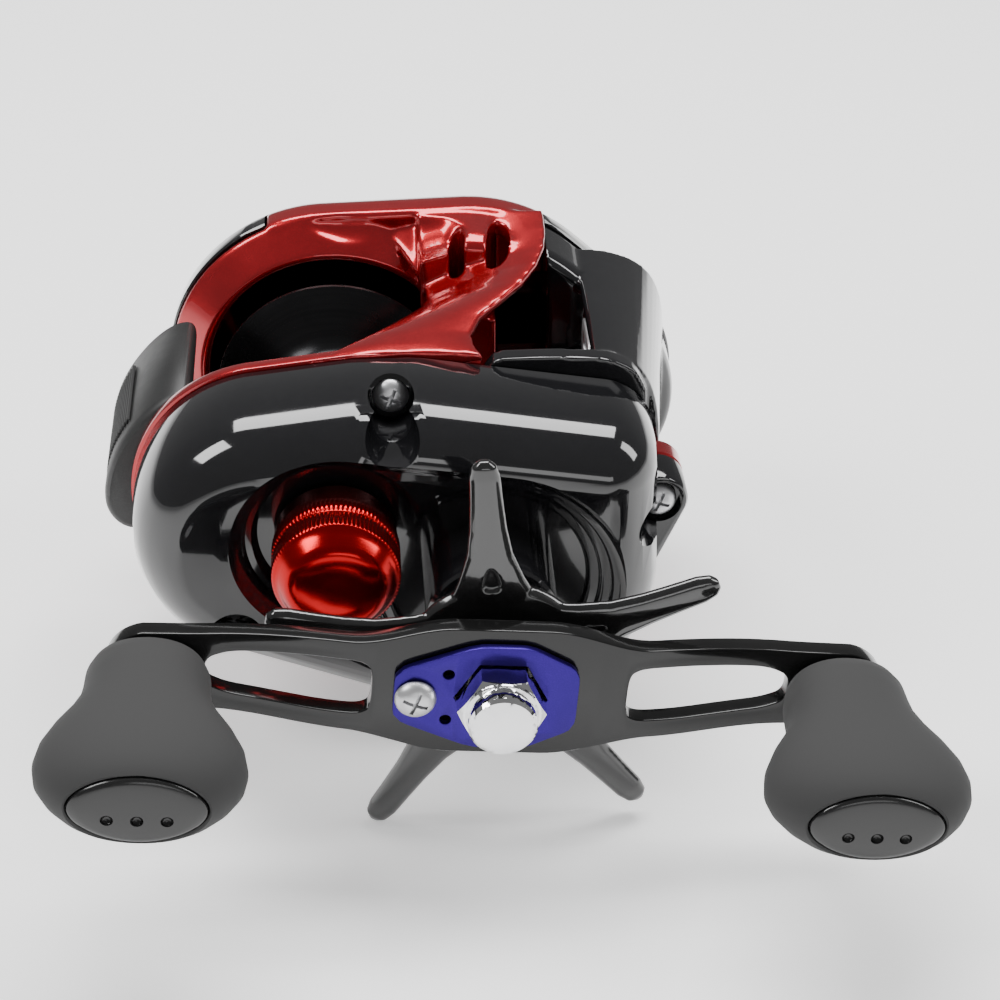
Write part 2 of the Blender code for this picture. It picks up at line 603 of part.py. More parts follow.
def make_t_guide():
    """T-shaped opening: narrow below for winding, wide above for casting."""
    outer = [(-2.9, 1.0), (2.9, 1.0), (2.9, 7.0), (4.9, 8.2), (4.9, 13.0), (3.9, 14.0), (-3.9, 14.0),
             (-4.9, 13.0), (-4.9, 8.2), (-2.9, 7.0)]
    inner = [(-1.1, 2.6), (1.1, 2.6), (1.1, 8.4), (3.5, 9.6), (3.5, 12.4), (-3.5, 12.4), (-3.5, 9.6),
             (-1.1, 8.4)]
    scale = GUIDE_HEIGHT / max(z for _, z in outer)
    shape = [[(y, z * scale) for y, z in loop] for loop in (outer, inner)]
    guide = plate("t_guide", shape, -0.7, 0.7, "steel")
    guide.matrix_world = (Matrix.Translation(at(GUIDE_PIVOT[0], 0, GUIDE_PIVOT[1]))
                          @ Matrix.Rotation(math.pi / 2, 4, "Z") @ facing("handle"))
    join(guide, rod("t_guide_barrel", 1.25, -2.7, 2.7, None, GUIDE_PIVOT, 16))
    cut(guide, rod("t_guide_bore", 0.58 + RUNNING, -4, 4, None, GUIDE_PIVOT, 12))


# ---- spool, pinion and brake -----------------------------------------------------------
def make_spool():
    bore, lip = SPOOL_SHAFT_RADIUS + 0.02, SPOOL_RADIUS - 1.4
    profile = [(bore, SPOOL_OUTER + 1.2), (3.2, SPOOL_OUTER + 1.2), (lip - 0.8, SPOOL_OUTER + 1.0),
               (lip, SPOOL_OUTER), (SPOOL_RADIUS, SPOOL_OUTER), (SPOOL_RADIUS, SPOOL_OUTER + 1.0),
               (ARBOR_RADIUS, SPOOL_OUTER + 6.0), (ARBOR_RADIUS, SPOOL_INNER - 6.0),
               (SPOOL_RADIUS, SPOOL_INNER - 1.0), (SPOOL_RADIUS, SPOOL_INNER),
               (lip, SPOOL_INNER), (9.6, SPOOL_INNER - 1.6), (3.2, SPOOL_INNER - 1.6),
               (bore, SPOOL_INNER - 1.6)]
    turned("spool", profile, "black_satin", steps=32)
    shaft = rod("spool_shaft", SPOOL_SHAFT_RADIUS, CAP_BOSS_END + GAP, PALM_OUT - 5.6, "steel", steps=14)
    back = SPOOL_INNER - 1.6 + GAP
    rotor = ring("spool_rotor", bore, 8.2, back, ROTOR_END, "aluminium", steps=20)
    cut(rotor, ring("rotor_hollow", 2.6, 7.4, back + 1.6, ROTOR_END + 1, None, steps=20))
    across = Matrix.Translation(at(0, PIN_PLACE, 0)) @ Matrix.Rotation(math.pi / 2, 4, "Y")
    pin = rod("spool_pin", PIN_RADIUS, -2.8, 2.8, "steel", steps=12)
    pin.matrix_world = across
    hole = rod("pin_hole", PIN_RADIUS + 0.03, -4, 4, None, steps=12)
    hole.matrix_world = across
    cut(shaft, hole)


def make_pinion():
    """Pinion that slides on the spool shaft: teeth, neck for the yoke and slotted flange."""
    phase = DRIVE_ANGLE + math.pi / PINION_TEETH
    teeth = plate("pinion_gear", [gear_outline(PINION_TEETH, MODULE, phase, 3)], -23.2, -18.0, "brass")
    neck = turned("pinion_neck", [(0, -18.3), (2.2, -18.3), (2.2, -16.0), (3.6, -16.0), (3.6, -14.6),
                                  (0, -14.6)],
                  None, steps=20)
    join(teeth, neck)
    cut(teeth, rod("pinion_bore", SPOOL_SHAFT_RADIUS + RUNNING, -25, -13, None, steps=14))
    slot = PIN_RADIUS + 0.15
    cut(teeth, box("pinion_slot", (-5, PIN_PLACE - slot, -slot), (5, -13, slot)))


def make_yoke():
    """Fork in the pinion's neck, on two posts set square to the line between the two axes."""
    posts = {"yoke_post_upper": 1.0, "yoke_post_lower": -1.0}
    across = (-math.sin(DRIVE_ANGLE), math.cos(DRIVE_ANGLE))
    places = {name: (side * POST_OFFSET * across[0], side * POST_OFFSET * across[1]) for name,
              side in posts.items()}
    ends = [(x, z, 2.4) for x, z in places.values()]
    yoke = plate("pinion_yoke", [hull(ends + [(0.0, 0.0, 4.4)], count=28)], YOKE_OUT, YOKE_IN,
                 "black_satin")
    cut(yoke, rod("neck_way", 2.2 + RUNNING, YOKE_OUT - 1, YOKE_IN + 1, None, steps=16))
    mouth = box("yoke_mouth", (-8, YOKE_OUT - 1, -2.2), (0, YOKE_IN + 1, 2.2))
    axis = at(0, 0, 0)
    turn = Matrix.Translation(axis) @ Matrix.Rotation(-DRIVE_ANGLE, 4, "Y") @ Matrix.Translation(-axis)
    mouth.matrix_world = turn @ mouth.matrix_world
    cut(yoke, mouth)
    for name, place in places.items():
        cut(yoke, rod(name + "_way", POST_RADIUS + RUNNING, YOKE_OUT - 1, YOKE_IN + 1, None, place))
        rod(name, POST_RADIUS, COVER_FLOOR + GAP, WALL_OUT - GAP, "steel", place)


def make_thumb_bar():
    outline = [(-9.6, 9.6), (-13.4, 4.4), (-15.3, -1), (-15.6, -5.2), (-14.4, -7.9), (-12.4, -9.3),
               (-10.6, -9.0), (-7.2, -5.4), (-5.0, 0), (-3.2, 6), (-2.0, 13.0), (-5.4, 13.0)]
    bar = plate("thumb_bar", [behind_spool(outline)], WALL_IN + GAP, RING_IN - GAP, "black_satin",
                bevel=1.0)
    join(bar, rod("thumb_lug", THUMB_LUG_RADIUS, -15.9, WALL_IN + 2, None, THUMB_LUG, 16))
    rear = THUMB_LUG[0]
    arm = [(rear - 1.6, -1.0), (rear + 1.5, -1.6), (-12, -1.6), (-6.0, -0.6), (-6.0, 3.2), (-12, 3.8),
           (rear - 1, 3.6)]
    clutch = plate("clutch_plate", [arm], -15.6, WALL_OUT - GAP, "steel")
    cut(clutch, rod("clutch_lug_hole", THUMB_LUG_RADIUS + RUNNING, -17, -13, None, THUMB_LUG, 16))


def make_brakes():
    bore, floor = CAP_BOSS_RADIUS + RUNNING, CAP_END + 2.2
    cap = [(0, CAP_END), (CAP_RADIUS - 4.15, CAP_END + 0.25), (CAP_RADIUS - 2.05, CAP_END + 0.9),
           (CAP_RADIUS - 0.2, CAP_END + 3.0), (CAP_RADIUS, CAP_END + 3.4), (CAP_RADIUS, CAP_START),
           (bore, CAP_START), (bore, floor), (0, floor)]
    turned("cast_control_cap", cap, "red", steps=28)
    rod("cast_control_spacer", 3.6, floor + 0.4, floor + 1.2, "brass", steps=16)
    ring("magnet_holder", 8.9, 11.4, 14.0, 19.4, "black_satin", steps=20)
    back, top = PALM_OUT - DIAL_SUNK, PALM_OUT + 1.2
    profile = [(0, PALM_OUT - 4.6), (DIAL_STEM, PALM_OUT - 4.6), (DIAL_STEM, back), (DIAL_RADIUS, back),
               (DIAL_RADIUS, top - 0.6), (DIAL_RADIUS - 1, top), (0, top)]
    dial = turned("brake_dial", profile, "black_satin", steps=24)
    for side in (-1, 1):
        cut(dial, plate("dial_grip", [capsule((0, -6), (0, 6), 2.6)], top - 1, top + 1, None,
                        (side * 5.5, 0)))


def make_bearings():
    spool_bore, drive_bore = SPOOL_SHAFT_RADIUS + PRESSED, SHAFT_RADIUS + PRESSED
    seat = CAP_BOSS_END + 6.0
    ring("spool_bearing_handle", spool_bore, BEARING_RADIUS, seat - 3.4, seat - GAP, "steel")
    ring("spool_bearing_palm", spool_bore, BEARING_RADIUS, RING_OUT + 1.2, PALM_OUT - 5.8, "steel")
    ring("drive_bearing_inner", drive_bore, WALL_BEARING_RADIUS, -15.4, -12.6, "steel", DRIVE, 20)
    ring("one_way_bearing", SLEEVE_RADIUS + 0.07, HOUSING_BORE - RUNNING, -32.6, -25.6, "steel", DRIVE, 20)
    ring("drive_bearing_outer", drive_bore, HOUSING_BORE - RUNNING, -37.2, -33.4, "steel", DRIVE, 20)


# ---- drive train and handle ------------------------------------------------------------
def make_drive_train():
    shaft = [(0, SHAFT_END), (SHAFT_THREAD, SHAFT_END), (SHAFT_THREAD, SHAFT_SHOULDER),
             (SHAFT_RADIUS, SHAFT_SHOULDER), (SHAFT_RADIUS, SHAFT_START), (0, SHAFT_START)]
    turned("drive_shaft", shaft, "steel", DRIVE, 16)
    toward_spool = DRIVE_ANGLE + math.pi
    bore = SHAFT_RADIUS + PRESSED
    gear = plate("drive_gear", [gear_outline(DRIVE_TEETH, MODULE, toward_spool, 2)], -22.4, -19.6, "brass",
                 DRIVE)
    cut(gear, rod("gear_bore", bore, -25, -18, None, DRIVE, 16),
        rod("drag_recess", DRAG_RADIUS + 0.4, -25, -21.2, None, DRIVE, 24))
    ring("drag_washer", bore, DRAG_RADIUS, -22.3, -21.5, "carbon", DRIVE, 20)
    ring("drag_plate", bore, DRAG_RADIUS, -23.6, -22.6, "steel", DRIVE, 20)
    saw = []
    for tooth in range(12):
        start = 2 * math.pi * tooth / 12
        root = start + 0.06
        saw += [(9.0 * math.cos(start), 9.0 * math.sin(start)),
                (7.6 * math.cos(root), 7.6 * math.sin(root))]
    plate("ratchet", [saw, circle(bore)], -19.2, -18.1, "steel", DRIVE)
    plate("worm_drive_cog", [gear_outline(DRIVE_COG_TEETH, COG_MODULE, WORM_ANGLE, 2), circle(bore)], -17.5,
          -16.1, "black_satin", DRIVE)
    ring("one_way_sleeve", bore, SLEEVE_RADIUS, -32.8, -24.6, "steel", DRIVE)
    washer = [(bore, -40.7), (4.4, -40.7), (5.8, -39.5), (5.8, -38.7), (4.4, -39.6), (bore, -39.6)]
    turned("drag_spring_washer", washer, "steel", DRIVE, 16)


def make_star():
    """Drag wheel: a wide hub with tapering arms, and a boss that reaches into the cover."""
    outline = []
    for arm in range(STAR_ARMS):
        middle = STAR_ANGLE + 2 * math.pi * arm / STAR_ARMS
        half_arm = [(STAR_HUB, 26), (STAR_HUB + 2.6, 15.5), (STAR_HUB + 7.0, 8.6), (STAR_RADIUS - 6, 5.2),
                    (STAR_RADIUS - 1.4, 4.0), (STAR_RADIUS, 1.8)]
        sides = [(radius, -angle) for radius, angle in half_arm]
        sides += [(radius, angle) for radius, angle in reversed(half_arm)]
        for radius, degrees in sides:
            angle = middle + math.radians(degrees)
            outline.append((radius * math.cos(angle), radius * math.sin(angle)))
    star = plate("star_drag", [outline], STAR_OUT, STAR_OUT + STAR_THICK, "black_gloss", DRIVE)
    join(star, rod("star_boss", 7.0, STAR_OUT + 1, STAR_BOSS_END, None, DRIVE, 20))
    cut(star, rod("star_bore", SHAFT_RADIUS + RUNNING, -52, -38, None, DRIVE, 16))


def turn_with_handle(point):
    """A point of the handle's own long axis and height, turned to the stored handle angle."""
    u, v = point
    c, s = math.cos(HANDLE_TILT), math.sin(HANDLE_TILT)
    return (u * c - v * s, u * s + v * c)


def sweep_towards_body(obj):
    """Cut the arm across at even steps, then bend it so its ends sit nearer the body."""
    along = Vector((math.cos(HANDLE_TILT), math.sin(HANDLE_TILT), 0.0))
    shape = bmesh.new()
    shape.from_mesh(obj.data)
    start, end = 14.0, HANDLE_REACH - 8.0
    for step in range(5):
        for side in (-1, 1):
            place = along * side * (start + (end - start) * step / 4) * MM
            everything = shape.verts[:] + shape.edges[:] + shape.faces[:]
            bmesh.ops.bisect_plane(shape, geom=everything, dist=1e-7, plane_co=place, plane_no=along)
    for vertex in shape.verts:
        reach = abs(vertex.co.dot(along)) / MM
        vertex.co.z -= HANDLE_SWEEP * MM * smooth_step(reach, start, end)
    shape.to_mesh(obj.data)
    shape.free()


def arm_half_height(u):
    """Half height of the handle arm at a distance from the drive axis."""
    return 9.8 - 2.8 * smooth_step(abs(u), 6.0, 20.0) - 1.2 * smooth_step(abs(u), 20.0, 42.0)


def make_handle():
    steps = [-40 + 5 * index for index in range(17)]
    upper = [(u, arm_half_height(u)) for u in reversed(steps)]
    lower = [(u, -arm_half_height(u)) for u in steps]
    end = 5.8
    left = [(-HANDLE_REACH + end * math.cos(a), end * math.sin(a)) for a in angles(90, 270, 7)[1:-1]]
    right = [(HANDLE_REACH + end * math.cos(a), end * math.sin(a)) for a in angles(-90, 90, 7)[1:-1]]
    outline = upper + left + lower + right
    slots = []
    for side in (-1, 1):
        reach = [17, 19, 24, 29, 34, 37.5]
        heights = [3.2, 3.9, 3.9, 3.6, 3.2, 2.2]
        top = [(side * u, h) for u, h in zip(reach, heights)]
        slots.append(top + [(u, -h) for u, h in reversed(top)])
    loops = [[turn_with_handle(point) for point in loop] for loop in [outline] + slots]
    arm = plate("handle_arm", loops, HANDLE_OUT, HANDLE_OUT + HANDLE_THICK, "black_satin", DRIVE)
    sweep_towards_body(arm)
    cut(arm, rod("handle_bore", SHAFT_THREAD + 0.05, -60, -48, None, DRIVE, 16))
    screw = place_on_handle(-11.0, 0.0)
    cut(arm, rod("retainer_thread", SCREW_SHANK + 0.05, -60, -52.0, None, screw, 12))
    make_retainer(screw)
    for name, side in (("front", 1), ("rear", -1)):
        make_knob(name, place_on_handle(side * HANDLE_REACH, 0.0), arm)


def angles(first, last, count):
    return [math.radians(first + (last - first) * index / (count - 1)) for index in range(count)]


def place_on_handle(u, v):
    x, z = turn_with_handle((u, v))
    return (DRIVE[0] + x, DRIVE[1] + z)


def make_retainer(screw):
    """Locking plate round the nut, its screw and the capped nut."""
    outer = [(-13.8, 3.8), (-13.8, -3.8), (-3.5, -8.0), (3.5, -8.0), (10.0, -4.6), (10.0, 4.6), (3.5, 8.0),
             (-3.5, 8.0)]
    nut_radius = NUT_ACROSS / 2 / math.cos(math.pi / 6)
    hex_hole = [((nut_radius + GAP) * math.cos(a), (nut_radius + GAP) * math.sin(a)) for a in angles(0, 300,
                                                                                                     6)]
    holes = [circle(0.75, (-6.9, side * 3.6), 10) for side in (-1, 1)]
    screw_hole = circle(SCREW_SHANK + 0.1, (-11.0, 0), 12)
    loops = [[turn_with_handle(p) for p in loop] for loop in [outer, hex_hole, screw_hole] + holes]
    out = HANDLE_OUT - GAP
    plate("handle_retainer", loops, out - RETAINER_THICK, out, "purple", DRIVE)
    face = out - RETAINER_THICK - GAP
    turned("retainer_screw", [(0, face - 1.7), (1.5, face - 1.5), (2.4, face - 0.9), (2.7, face),
                              (SCREW_SHANK, face), (SCREW_SHANK, -52.4), (0, -52.4)], "steel", screw, 12)
    hexagon = [turn_with_handle((nut_radius * math.cos(a), nut_radius * math.sin(a))) for a in angles(0,
                                                                                                      300,
                                                                                                      6)]
    nut = plate("handle_nut", [hexagon], out - NUT_HEIGHT - 1.0, out, "chrome", DRIVE)
    join(nut, turned("nut_cap", [(0, NUT_END), (NUT_CAP_RADIUS - 0.5, NUT_END),
                                 (NUT_CAP_RADIUS, NUT_END + 0.9), (NUT_CAP_RADIUS, -56), (0, -56)], None,
                     DRIVE, 20))
    cut(nut, rod("nut_thread", SHAFT_THREAD + 0.05, SHAFT_END - GAP, -52, None, DRIVE, 16))


def make_knob(name, place, arm):
    """Paddle knob with its end cap, bush, shaft and screw; the knob turns on the shaft."""
    start = HANDLE_OUT + HANDLE_SWEEP - 0.5
    half_widths = [(0, 7.2), (2, 8.0), (6, 8.1), (10, 8.8), (15, 11.2), (20, 13.1), (23.5, 12.8),
                   (26, 10.9), (KNOB_LENGTH, 9.3)]
    thickness = [6.2, 6.8, 6.8, 6.8, 7.1, 7.2, 6.9, 6.3, 5.7]
    end = start - KNOB_LENGTH
    profile = [(0, end)] + [(w, start - s) for s, w in reversed(half_widths)] + [(0, start)]
    knob = turned("knob_" + name, profile, "rubber", place, 20)
    knob.data = evaluated_mesh(knob)
    knob.modifiers.clear()
    stations = [(-(start - s) * MM, t / w) for (s, w), t in zip(half_widths, thickness)]
    for vertex in knob.data.vertices:
        vertex.co.y *= min(stations, key=lambda station: abs(station[0] - vertex.co.z))[1]
    turn_mesh(knob, HANDLE_TILT)
    knob.data.set_sharp_from_angle(angle=math.radians(32))
    cap_pocket = plate("cap_pocket_" + name, [eye(GAP)], end - 1, end + 0.8 + GAP, None, place)
    cut(knob, cap_pocket)
    bore = KNOB_BUSH_RADIUS + RUNNING
    cut(knob, rod("knob_bore_" + name, bore, end + 3.0, start + 1, None, place, 20))
    plate("knob_cap_" + name, [eye(0)], end + 0.8 - KNOB_CAP_THICK, end + 0.8, "black_gloss", place,
          bevel=0.5, segments=1)
    shaft_end = end + 5.4
    flange = start + 0.15
    back = HANDLE_OUT + HANDLE_THICK + HANDLE_SWEEP + 0.6
    shaft = [(0, shaft_end), (KNOB_SHAFT_RADIUS, shaft_end), (KNOB_SHAFT_RADIUS, flange), (2.9, flange),
             (2.9, flange + 0.2), (1.6, flange + 0.2), (1.6, back), (0, back)]
    turned("knob_shaft_" + name, shaft, "steel", place, 12)
    cut(arm, rod("knob_seat_" + name, 1.65, -56, -44, None, place))
    ring("knob_bush_" + name, KNOB_SHAFT_RADIUS + RUNNING, KNOB_BUSH_RADIUS, shaft_end + 1, shaft_end + 5,
         "brass", place, 16)
    rod("knob_screw_" + name, 3.0, shaft_end - GAP - 1.2, shaft_end - GAP, "steel", place)


def eye(grow):
    """Eye-shaped end-cap outline, turned with the handle."""
    half_width, half_height = KNOB_CAP_HALF
    points = []
    for angle in angles(0, 340, 18):
        x = (half_width + grow) * math.cos(angle)
        z = (half_height + grow) * math.sin(angle) * (0.82 + 0.18 * abs(math.sin(angle)))
        points.append(turn_with_handle((x, z)))
    return points


def turn_mesh(obj, angle):
    obj.data.transform(Matrix.Rotation(angle, 4, "Z"))


def main():
    make_frame()
    make_foot()
    make_handle_side_cover()
    make_cover_screws()
    make_front_cover()
    make_palm_side_cover()
    make_front_details()
    make_spool()
    make_pinion()
    make_yoke()
    make_thumb_bar()
    make_brakes()
    make_bearings()
    make_drive_train()
    make_star()
    make_handle()


clear_scene()
PARTS = collection("baitcasting_reel")
CUTTERS = collection("cutters")
main()
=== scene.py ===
"""Looks for a low-profile baitcasting reel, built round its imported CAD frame.

Shapes are worked out in millimetres from the spool's axis: x towards the rod tip, y to the
palm side and z up. They become metres in the row frame when a piece is finished.
"""
from __future__ import annotations

import logging
import math
from dataclasses import dataclass, field
from enum import Enum
from typing import Callable, Iterable, Sequence

import bmesh
import bpy
from mathutils import Matrix, Vector


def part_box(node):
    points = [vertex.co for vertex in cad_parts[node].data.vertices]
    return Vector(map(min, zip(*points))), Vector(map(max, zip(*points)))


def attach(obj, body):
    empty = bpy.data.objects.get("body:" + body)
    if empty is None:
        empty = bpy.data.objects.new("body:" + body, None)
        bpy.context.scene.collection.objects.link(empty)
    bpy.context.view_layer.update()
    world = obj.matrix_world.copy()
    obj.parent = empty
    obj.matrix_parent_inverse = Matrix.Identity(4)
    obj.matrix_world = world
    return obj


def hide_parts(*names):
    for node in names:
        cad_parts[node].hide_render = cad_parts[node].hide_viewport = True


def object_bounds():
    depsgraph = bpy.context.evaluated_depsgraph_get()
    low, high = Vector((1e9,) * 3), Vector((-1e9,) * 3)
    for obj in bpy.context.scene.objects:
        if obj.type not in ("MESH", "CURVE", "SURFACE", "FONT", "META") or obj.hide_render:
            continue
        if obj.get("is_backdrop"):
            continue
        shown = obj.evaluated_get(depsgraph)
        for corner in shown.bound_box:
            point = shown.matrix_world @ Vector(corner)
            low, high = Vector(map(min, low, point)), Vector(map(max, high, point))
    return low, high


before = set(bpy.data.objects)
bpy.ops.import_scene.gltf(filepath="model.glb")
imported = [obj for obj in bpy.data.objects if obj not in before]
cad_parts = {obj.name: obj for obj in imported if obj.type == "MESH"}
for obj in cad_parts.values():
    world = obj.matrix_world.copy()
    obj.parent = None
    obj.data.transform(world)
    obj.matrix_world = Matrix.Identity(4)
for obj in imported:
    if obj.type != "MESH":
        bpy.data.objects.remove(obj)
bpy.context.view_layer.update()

LOG = logging.getLogger("reel")
MM = 0.001
Point = tuple[float, float, float]
Flat = tuple[float, float]


def middle(node: str) -> Vector:
    """Middle of a CAD node's box, in metres."""
    low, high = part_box(node)
    return (low + high) / 2


SPOOL_MIDDLE = middle("spool")
ORIGIN = Vector((SPOOL_MIDDLE.x, 0.0, SPOOL_MIDDLE.z))


def axis_of(node: str) -> Flat:
    """Place of a turned CAD node's axis, in millimetres from the spool's axis."""
    spot = (middle(node) - ORIGIN) / MM
    return (spot.x, spot.z)


SPOOL: Flat = (0.0, 0.0)
DRIVE = axis_of("drive_shaft")
LUG = axis_of("cover_screw_front")
KNOBS = {"front": axis_of("knob_shaft_front"), "rear": axis_of("knob_shaft_rear")}
TILT = math.atan2(KNOBS["front"][1] - KNOBS["rear"][1], KNOBS["front"][0] - KNOBS["rear"][0])


# ---- finishes ---------------------------------------------------------------------------
class Pattern(Enum):
    """Surface detail that a finish carries."""

    LACQUER = "slow drift under a clear coat"
    FLAKE = "metal flake under a clear coat"
    GRAIN = "fine moulded grain"
    TURNED = "rings left by a lathe"
    BRUSHED = "fine straight lines"
    WEAVE = "woven cloth"


@dataclass(frozen=True)
class Finish:
    """One finish of the reel and the record's slot that it belongs to."""

    name: str
    slot: str | None
    pattern: Pattern
    colour: Point
    drift: Point
    roughness: Flat
    metallic: float = 0.0
    coat: float = 0.0
    bump: float = 0.1
    size: float = 1.0
    specular: float = 0.5

    def material(self) -> bpy.types.Material:
        """Build the finish's node material, or give back the one already made."""
        found = bpy.data.materials.get(self.name)
        if found:
            return found
        made = bpy.data.materials.new(self.name)
        made.use_nodes = True
        tree = made.node_tree
        shader = tree.nodes["Principled BSDF"]
        shader.inputs["Metallic"].default_value = self.metallic
        shader.inputs["Coat Weight"].default_value = self.coat
        shader.inputs["Coat Roughness"].default_value = 0.035
        shader.inputs["Specular IOR Level"].default_value = self.specular
        place = tree.nodes.new("ShaderNodeTexCoord").outputs["Object"]
        slow = self.noise(tree, place, 90.0 / self.size, 3.0)
        detail = self.detail(tree, place)
        self.link_colour(tree, shader, slow, detail)
        rough = tree.nodes.new("ShaderNodeMapRange")
        rough.inputs["To Min"].default_value = self.roughness[0]
        rough.inputs["To Max"].default_value = self.roughness[1]
        tree.links.new(self.noise(tree, place, 420.0 / self.size, 4.0), rough.inputs["Value"])
        tree.links.new(rough.outputs["Result"], shader.inputs["Roughness"])
        bump = tree.nodes.new("ShaderNodeBump")
        bump.inputs["Strength"].default_value = self.bump
        bump.inputs["Distance"].default_value = 0.05 * MM
        tree.links.new(detail, bump.inputs["Height"])
        tree.links.new(bump.outputs["Normal"], shader.inputs["Normal"])
        return made

    def noise(self, tree: bpy.types.NodeTree, place: bpy.types.NodeSocket, scale: float,
              detail: float) -> bpy.types.NodeSocket:
        """Add a noise texture.

        Args:
            tree: the material's nodes.
            place: where the pattern is read.
            scale: how fine it is.
            detail: how many finer layers it has.

        Returns:
            The factor socket.
        """
        node = tree.nodes.new("ShaderNodeTexNoise")
        node.inputs["Scale"].default_value = scale
        node.inputs["Detail"].default_value = detail
        tree.links.new(place, node.inputs["Vector"])
        return node.outputs["Fac"]

    def detail(self, tree: bpy.types.NodeTree, place: bpy.types.NodeSocket) -> bpy.types.NodeSocket:
        """Add the nodes of the finish's pattern.

        Args:
            tree: the material's nodes.
            place: where the pattern is read.

        Returns:
            The socket that holds its height.
        """
        if self.pattern in (Pattern.FLAKE, Pattern.GRAIN):
            node = tree.nodes.new("ShaderNodeTexVoronoi")
            node.inputs["Scale"].default_value = {Pattern.FLAKE: 5200.0,
                                                  Pattern.GRAIN: 3600.0}[self.pattern] / self.size
            tree.links.new(place, node.inputs["Vector"])
            return node.outputs["Distance"]
        if self.pattern in (Pattern.TURNED, Pattern.BRUSHED):
            stretch = tree.nodes.new("ShaderNodeMapping")
            stretch.inputs["Scale"].default_value = {
                Pattern.TURNED: (60.0, 5200.0, 60.0), Pattern.BRUSHED: (90.0, 3000.0,
                                                                        5200.0)}[self.pattern]
            tree.links.new(place, stretch.inputs["Vector"])
            return self.noise(tree, stretch.outputs["Vector"], 1.0, 5.0)
        if self.pattern is Pattern.WEAVE:
            node = tree.nodes.new("ShaderNodeTexChecker")
            node.inputs["Scale"].default_value = 1600.0
            tree.links.new(place, node.inputs["Vector"])
            return node.outputs["Fac"]
        return self.noise(tree, place, 900.0 / self.size, 2.0)

    def link_colour(self, tree: bpy.types.NodeTree, shader: bpy.types.Node,
                    slow: bpy.types.NodeSocket, detail: bpy.types.NodeSocket) -> None:
        """Drift the colour slowly, and with the flakes, grain or weave.

        Args:
            tree: the material's nodes.
            shader: the node that takes the colour.
            slow: factor that changes slowly.
            detail: factor that changes with the pattern.
        """
        blend = tree.nodes.new("ShaderNodeMix")
        blend.data_type = "RGBA"
        blend.inputs[6].default_value = (*self.colour, 1.0)
        blend.inputs[7].default_value = (*self.drift, 1.0)
        weight = tree.nodes.new("ShaderNodeMath")
        weight.operation = "MULTIPLY"
        tree.links.new(slow, weight.inputs[0])
        tree.links.new(detail, weight.inputs[1])
        tree.links.new(weight.outputs["Value"], blend.inputs[0])
        tree.links.new(blend.outputs[2], shader.inputs["Base Color"])


RED = Finish("red_lacquer", "frame_red", Pattern.FLAKE, (0.33, 0.002, 0.006), (0.6, 0.015, 0.022),
             (0.2, 0.3), metallic=0.75, coat=1.0, bump=0.02)
COVER = Finish("cover_gloss", "cover_black", Pattern.LACQUER, (0.006, 0.006, 0.007),
               (0.012, 0.012, 0.013), (0.05, 0.11), coat=0.6, bump=0.02)
STAR = Finish("star_gloss", "star_black", Pattern.LACQUER, (0.008, 0.008, 0.008),
              (0.018, 0.018, 0.018), (0.1, 0.2), coat=0.8, bump=0.03)
ARM = Finish("arm_satin_gloss", "handle_black", Pattern.LACQUER, (0.005, 0.005, 0.005),
             (0.01, 0.01, 0.01), (0.12, 0.2), coat=0.3, bump=0.03, specular=0.3)
PURPLE = Finish("purple_anodised", "retainer_purple", Pattern.GRAIN, (0.02, 0.004, 0.15),
                (0.05, 0.012, 0.27), (0.28, 0.36), metallic=0.75, bump=0.06, size=0.6)
CHROME = Finish("chrome", "nut_chrome", Pattern.LACQUER, (0.82, 0.82, 0.83), (0.7, 0.7, 0.71),
                (0.04, 0.09), metallic=1.0, bump=0.01)
STEEL = Finish("steel", "steel", Pattern.TURNED, (0.62, 0.6, 0.57), (0.45, 0.43, 0.41),
               (0.16, 0.26), metallic=1.0, bump=0.05)
RED_CAP = Finish("red_anodised", "cap_red", Pattern.TURNED, (0.34, 0.003, 0.006),
                 (0.58, 0.02, 0.02), (0.16, 0.24), metallic=0.95, bump=0.05)
RUBBER = Finish("knob_rubber", "knob_rubber", Pattern.GRAIN, (0.01, 0.01, 0.01),
                (0.022, 0.022, 0.022), (0.5, 0.62), bump=0.16, size=0.55, specular=0.35)
KNOB_GLOSS = Finish("knob_cap_gloss", "knob_cap_gloss", Pattern.LACQUER, (0.003, 0.003, 0.003),
                    (0.007, 0.007, 0.007), (0.04, 0.09), coat=0.3, bump=0.02, specular=0.35)
SPOOL_BLACK = Finish("spool_anodised", "spool_black", Pattern.TURNED, (0.014, 0.014, 0.015),
                     (0.035, 0.035, 0.036), (0.22, 0.32), metallic=0.9, bump=0.06)
BAR = Finish("thumb_bar_moulded", "thumb_bar_grey", Pattern.GRAIN, (0.012, 0.012, 0.012),
             (0.03, 0.03, 0.03), (0.4, 0.52), bump=0.12, size=0.7, specular=0.4)
PLASTIC = Finish("black_plastic", "plastic_black", Pattern.GRAIN, (0.012, 0.012, 0.012),
                 (0.025, 0.025, 0.025), (0.3, 0.45), bump=0.08)
BRASS = Finish("brass", "gear_brass", Pattern.TURNED, (0.58, 0.4, 0.14), (0.42, 0.27, 0.08),
               (0.22, 0.34), metallic=1.0)
ALLOY = Finish("alloy", "rotor_metal", Pattern.TURNED, (0.6, 0.6, 0.61), (0.48, 0.48, 0.49),
               (0.25, 0.36), metallic=1.0)
FOOT = Finish("foot_alloy", "foot_metal", Pattern.BRUSHED, (0.36, 0.36, 0.37), (0.24, 0.24, 0.25),
              (0.28, 0.4), metallic=1.0)
CARBON = Finish("drag_cloth", "drag_carbon", Pattern.WEAVE, (0.01, 0.01, 0.01), (0.05, 0.05, 0.05),
                (0.5, 0.65))


